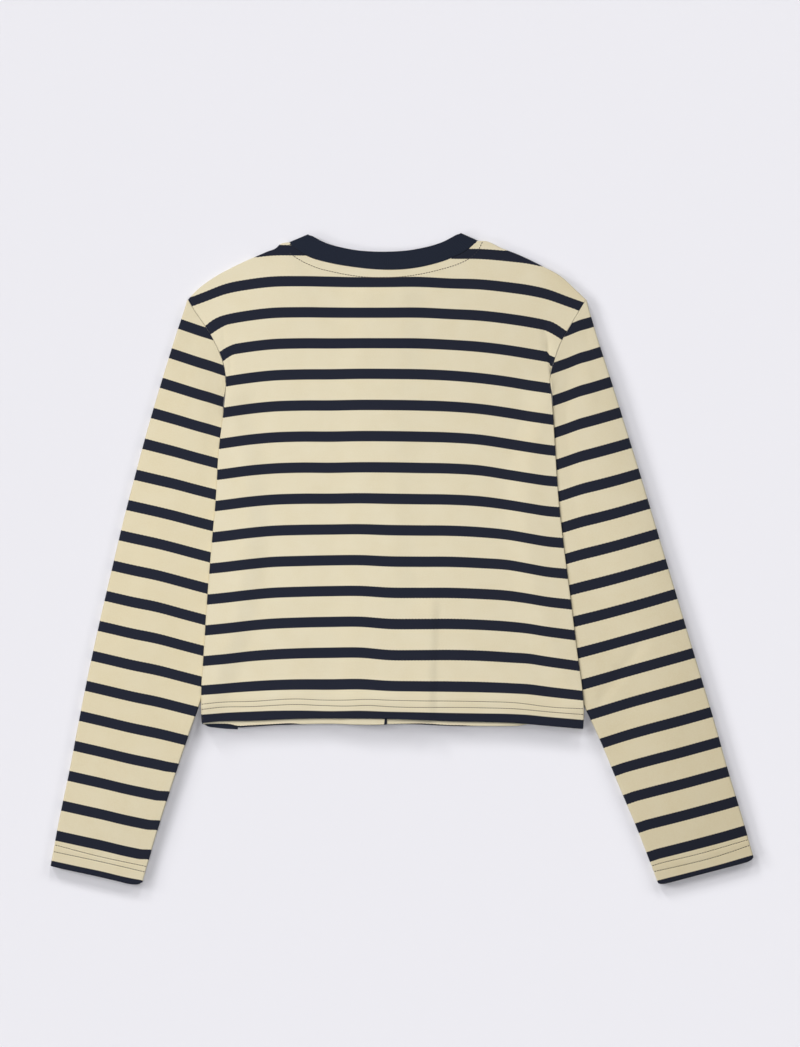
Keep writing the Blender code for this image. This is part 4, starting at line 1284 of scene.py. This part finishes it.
buttons, buttonThreads, holes = [], [], []
for i in range(buttonSizes["count"]):
    y = buttonSizes["firstY"] - i * buttonSizes["pitch"]
    buttons.append(drilledButton(f"resin_button_{i + 1}", float(lapX(y)), y))
    buttonThreads.append(buttonThread(f"button_thread_{i + 1}", float(lapX(y)), y))
    holes += buttonholeStitches(y)
layThreads(
    "buttonhole_stitching", holes, heightReader(frontRight, fromAbove=False), False, navyThread,
    radius=buttonSewing["thread"])
print("buttons made")


cameraSetup = {"centre": (-1.5, 35.5, 3.0), "height": 6000.0, "pictureHeight": 1047.0, "sensor": 36.0}
lighting = {
    "ambient": "#e9e9ec",
    "ambientStrength": 0.12,
    "backdrop": "#ebeaef",
    "overhead": 0.664,
    "raking": 3.2,
    "softBox": 3.67,
    "key": 1.68,
}


def addLamp(name, kind, strength, colour="#ffffff", receivers=None, **settings):
    lamp = bpy.data.lights.new(name, kind)
    lamp.energy = strength
    lamp.color = linearColour(colour)[:3]
    for key, value in settings.items():
        setattr(lamp, key, value)
    holder = bpy.data.objects.new(name, lamp)
    bpy.context.scene.collection.objects.link(holder)
    if receivers is not None:
        holder.light_linking.receiver_collection = receivers
    return holder


def aim(holder, azimuth, elevation):  # light comes from this compass angle, counted from +X to +Y
    a, e = radians(azimuth), radians(elevation)
    towards = Vector((cos(a) * cos(e), sin(a) * cos(e), sin(e)))
    holder.rotation_euler = towards.to_track_quat("Z", "Y").to_euler()


sweep = {"paper": "#e6e5ea", "reach": 20.0, "below": 0.1}  # reach in metres; below the cloth in mm


# Matt paper sweep: pale, with no shine, so that only the shadow shows on it.
def paperSweep():
    material, tree, shader = newMaterial(
        "paperSweep", Base_Color=linearColour(sweep["paper"]), Roughness=1.0, Specular_IOR_Level=0.0)
    return material


floorMesh = bpy.data.meshes.new("floor")
corners = [(sweep["reach"] * x, sweep["reach"] * y, 0) for x, y in ((-1, -1), (1, -1), (1, 1), (-1, 1))]
floorMesh.from_pydata(corners, [], [(0, 1, 2, 3)])
floorMesh.materials.append(paperSweep())
floor = bpy.data.objects.new("floor", floorMesh)
floor.location.z = -sweep["below"] * mm
ground = bpy.data.collections.new("ground")
bpy.context.scene.collection.children.link(ground)
ground.objects.link(floor)

world = bpy.data.worlds.new("studio")
bpy.context.scene.world = world
world.use_nodes = True
tree = world.node_tree
tree.nodes.clear()
fill = addNode(tree, "Background", {0: linearColour(lighting["ambient"]), 1: lighting["ambientStrength"]})
backdrop = addNode(tree, "Background", {0: linearColour(lighting["backdrop"]), 1: 1.0})
seen = addNode(tree, "LightPath").outputs["Is Camera Ray"]
either = addNode(tree, "MixShader", {0: seen, 1: fill.outputs[0], 2: backdrop.outputs[0]})
addNode(tree, "OutputWorld", {0: either.outputs[0]})

# The floor's share of light: most from overhead, the rest raking in, mainly from the upper left.
aim(addLamp("overFloor", "SUN", lighting["overhead"], receivers=ground, angle=radians(20)), 130, 88)
rake = table(
    "azimuth elevation spread share",
    (40, 14, 10, 0.08),
    (80, 19, 10, 0.05),
    (80, 13.5, 6, 0.075),
    (120, 14, 5, 0.07),
    (120, 10.5, 3, 0.065),
    (125, 24, 8, 0.03),
    (150, 24, 8, 0.04),
    (160, 14.5, 6, 0.07),
    (160, 9.5, 3, 0.058),
    (165, 26, 8, 0.04),
    (170, 15, 8, 0.045),
    (200, 16, 8, 0.085),
    (300, 42, 40, 0.04))
for i, (azimuth, elevation, spread, share) in enumerate(zip(*rake.values())):
    strength = lighting["raking"] * share / sin(radians(elevation))
    lamp = addLamp(f"raking{i + 1}", "SUN", strength, receivers=ground, angle=radians(spread))
    aim(lamp, azimuth, elevation)

# The garment's own light: a soft box close above its left half, and a broad key from the upper left.
softBox = addLamp("softBox", "AREA", lighting["softBox"], "#f4f6ff", garment, shape="SQUARE", size=0.9)
softBox.location = (-0.235, 0.078, 0.7)
softBox.visible_camera = False
aim(addLamp("key", "SUN", lighting["key"], "#fff1dc", garment, angle=radians(30)), 130, 60)

lens = bpy.data.cameras.new("camera")
camera = bpy.data.objects.new("camera", lens)
bpy.context.scene.collection.objects.link(camera)
bpy.context.scene.camera = camera
centreX, centreY, centreZ = cameraSetup["centre"]
camera.location = (centreX * mm, centreY * mm, cameraSetup["height"] * mm)
lens.sensor_width = cameraSetup["sensor"]
lens.lens = cameraSetup["sensor"] * (cameraSetup["height"] - centreZ) / cameraSetup["pictureHeight"]
lens.clip_end = 100
bpy.context.scene.view_settings.view_transform = "Standard"
print("camera and light set")


sheets = (
    (back, "back", (0.398, 0.488), 0.1634,
     ["front_left_jersey", "front_right_jersey", "sleeve_left_jersey"]),
    (frontLeft, "front_left", (0.207, 0.486), 0.0787, ["front_right_jersey", "sleeve_left_jersey"]),
    (frontRight, "front_right", (0.228, 0.488), 0.0896, ["floor", "sleeve_right_jersey"]),
    (sleeveLeft, "sleeve_left", (0.250, 0.583), 0.1128, ["floor"]),
    (sleeveRight, "sleeve_right", (0.250, 0.583), 0.1164, ["floor"]),
    (collar, "neckband", (0.437, 0.0186), 0.0081, ["floor"]))
for piece, node, flat, area, restsOn in sheets:
    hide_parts(node)
    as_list(restsOn)
for i, piece in enumerate(buttons):
    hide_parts(f"button_{i + 1}")
for piece in garment.objects:
    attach(piece, "root")
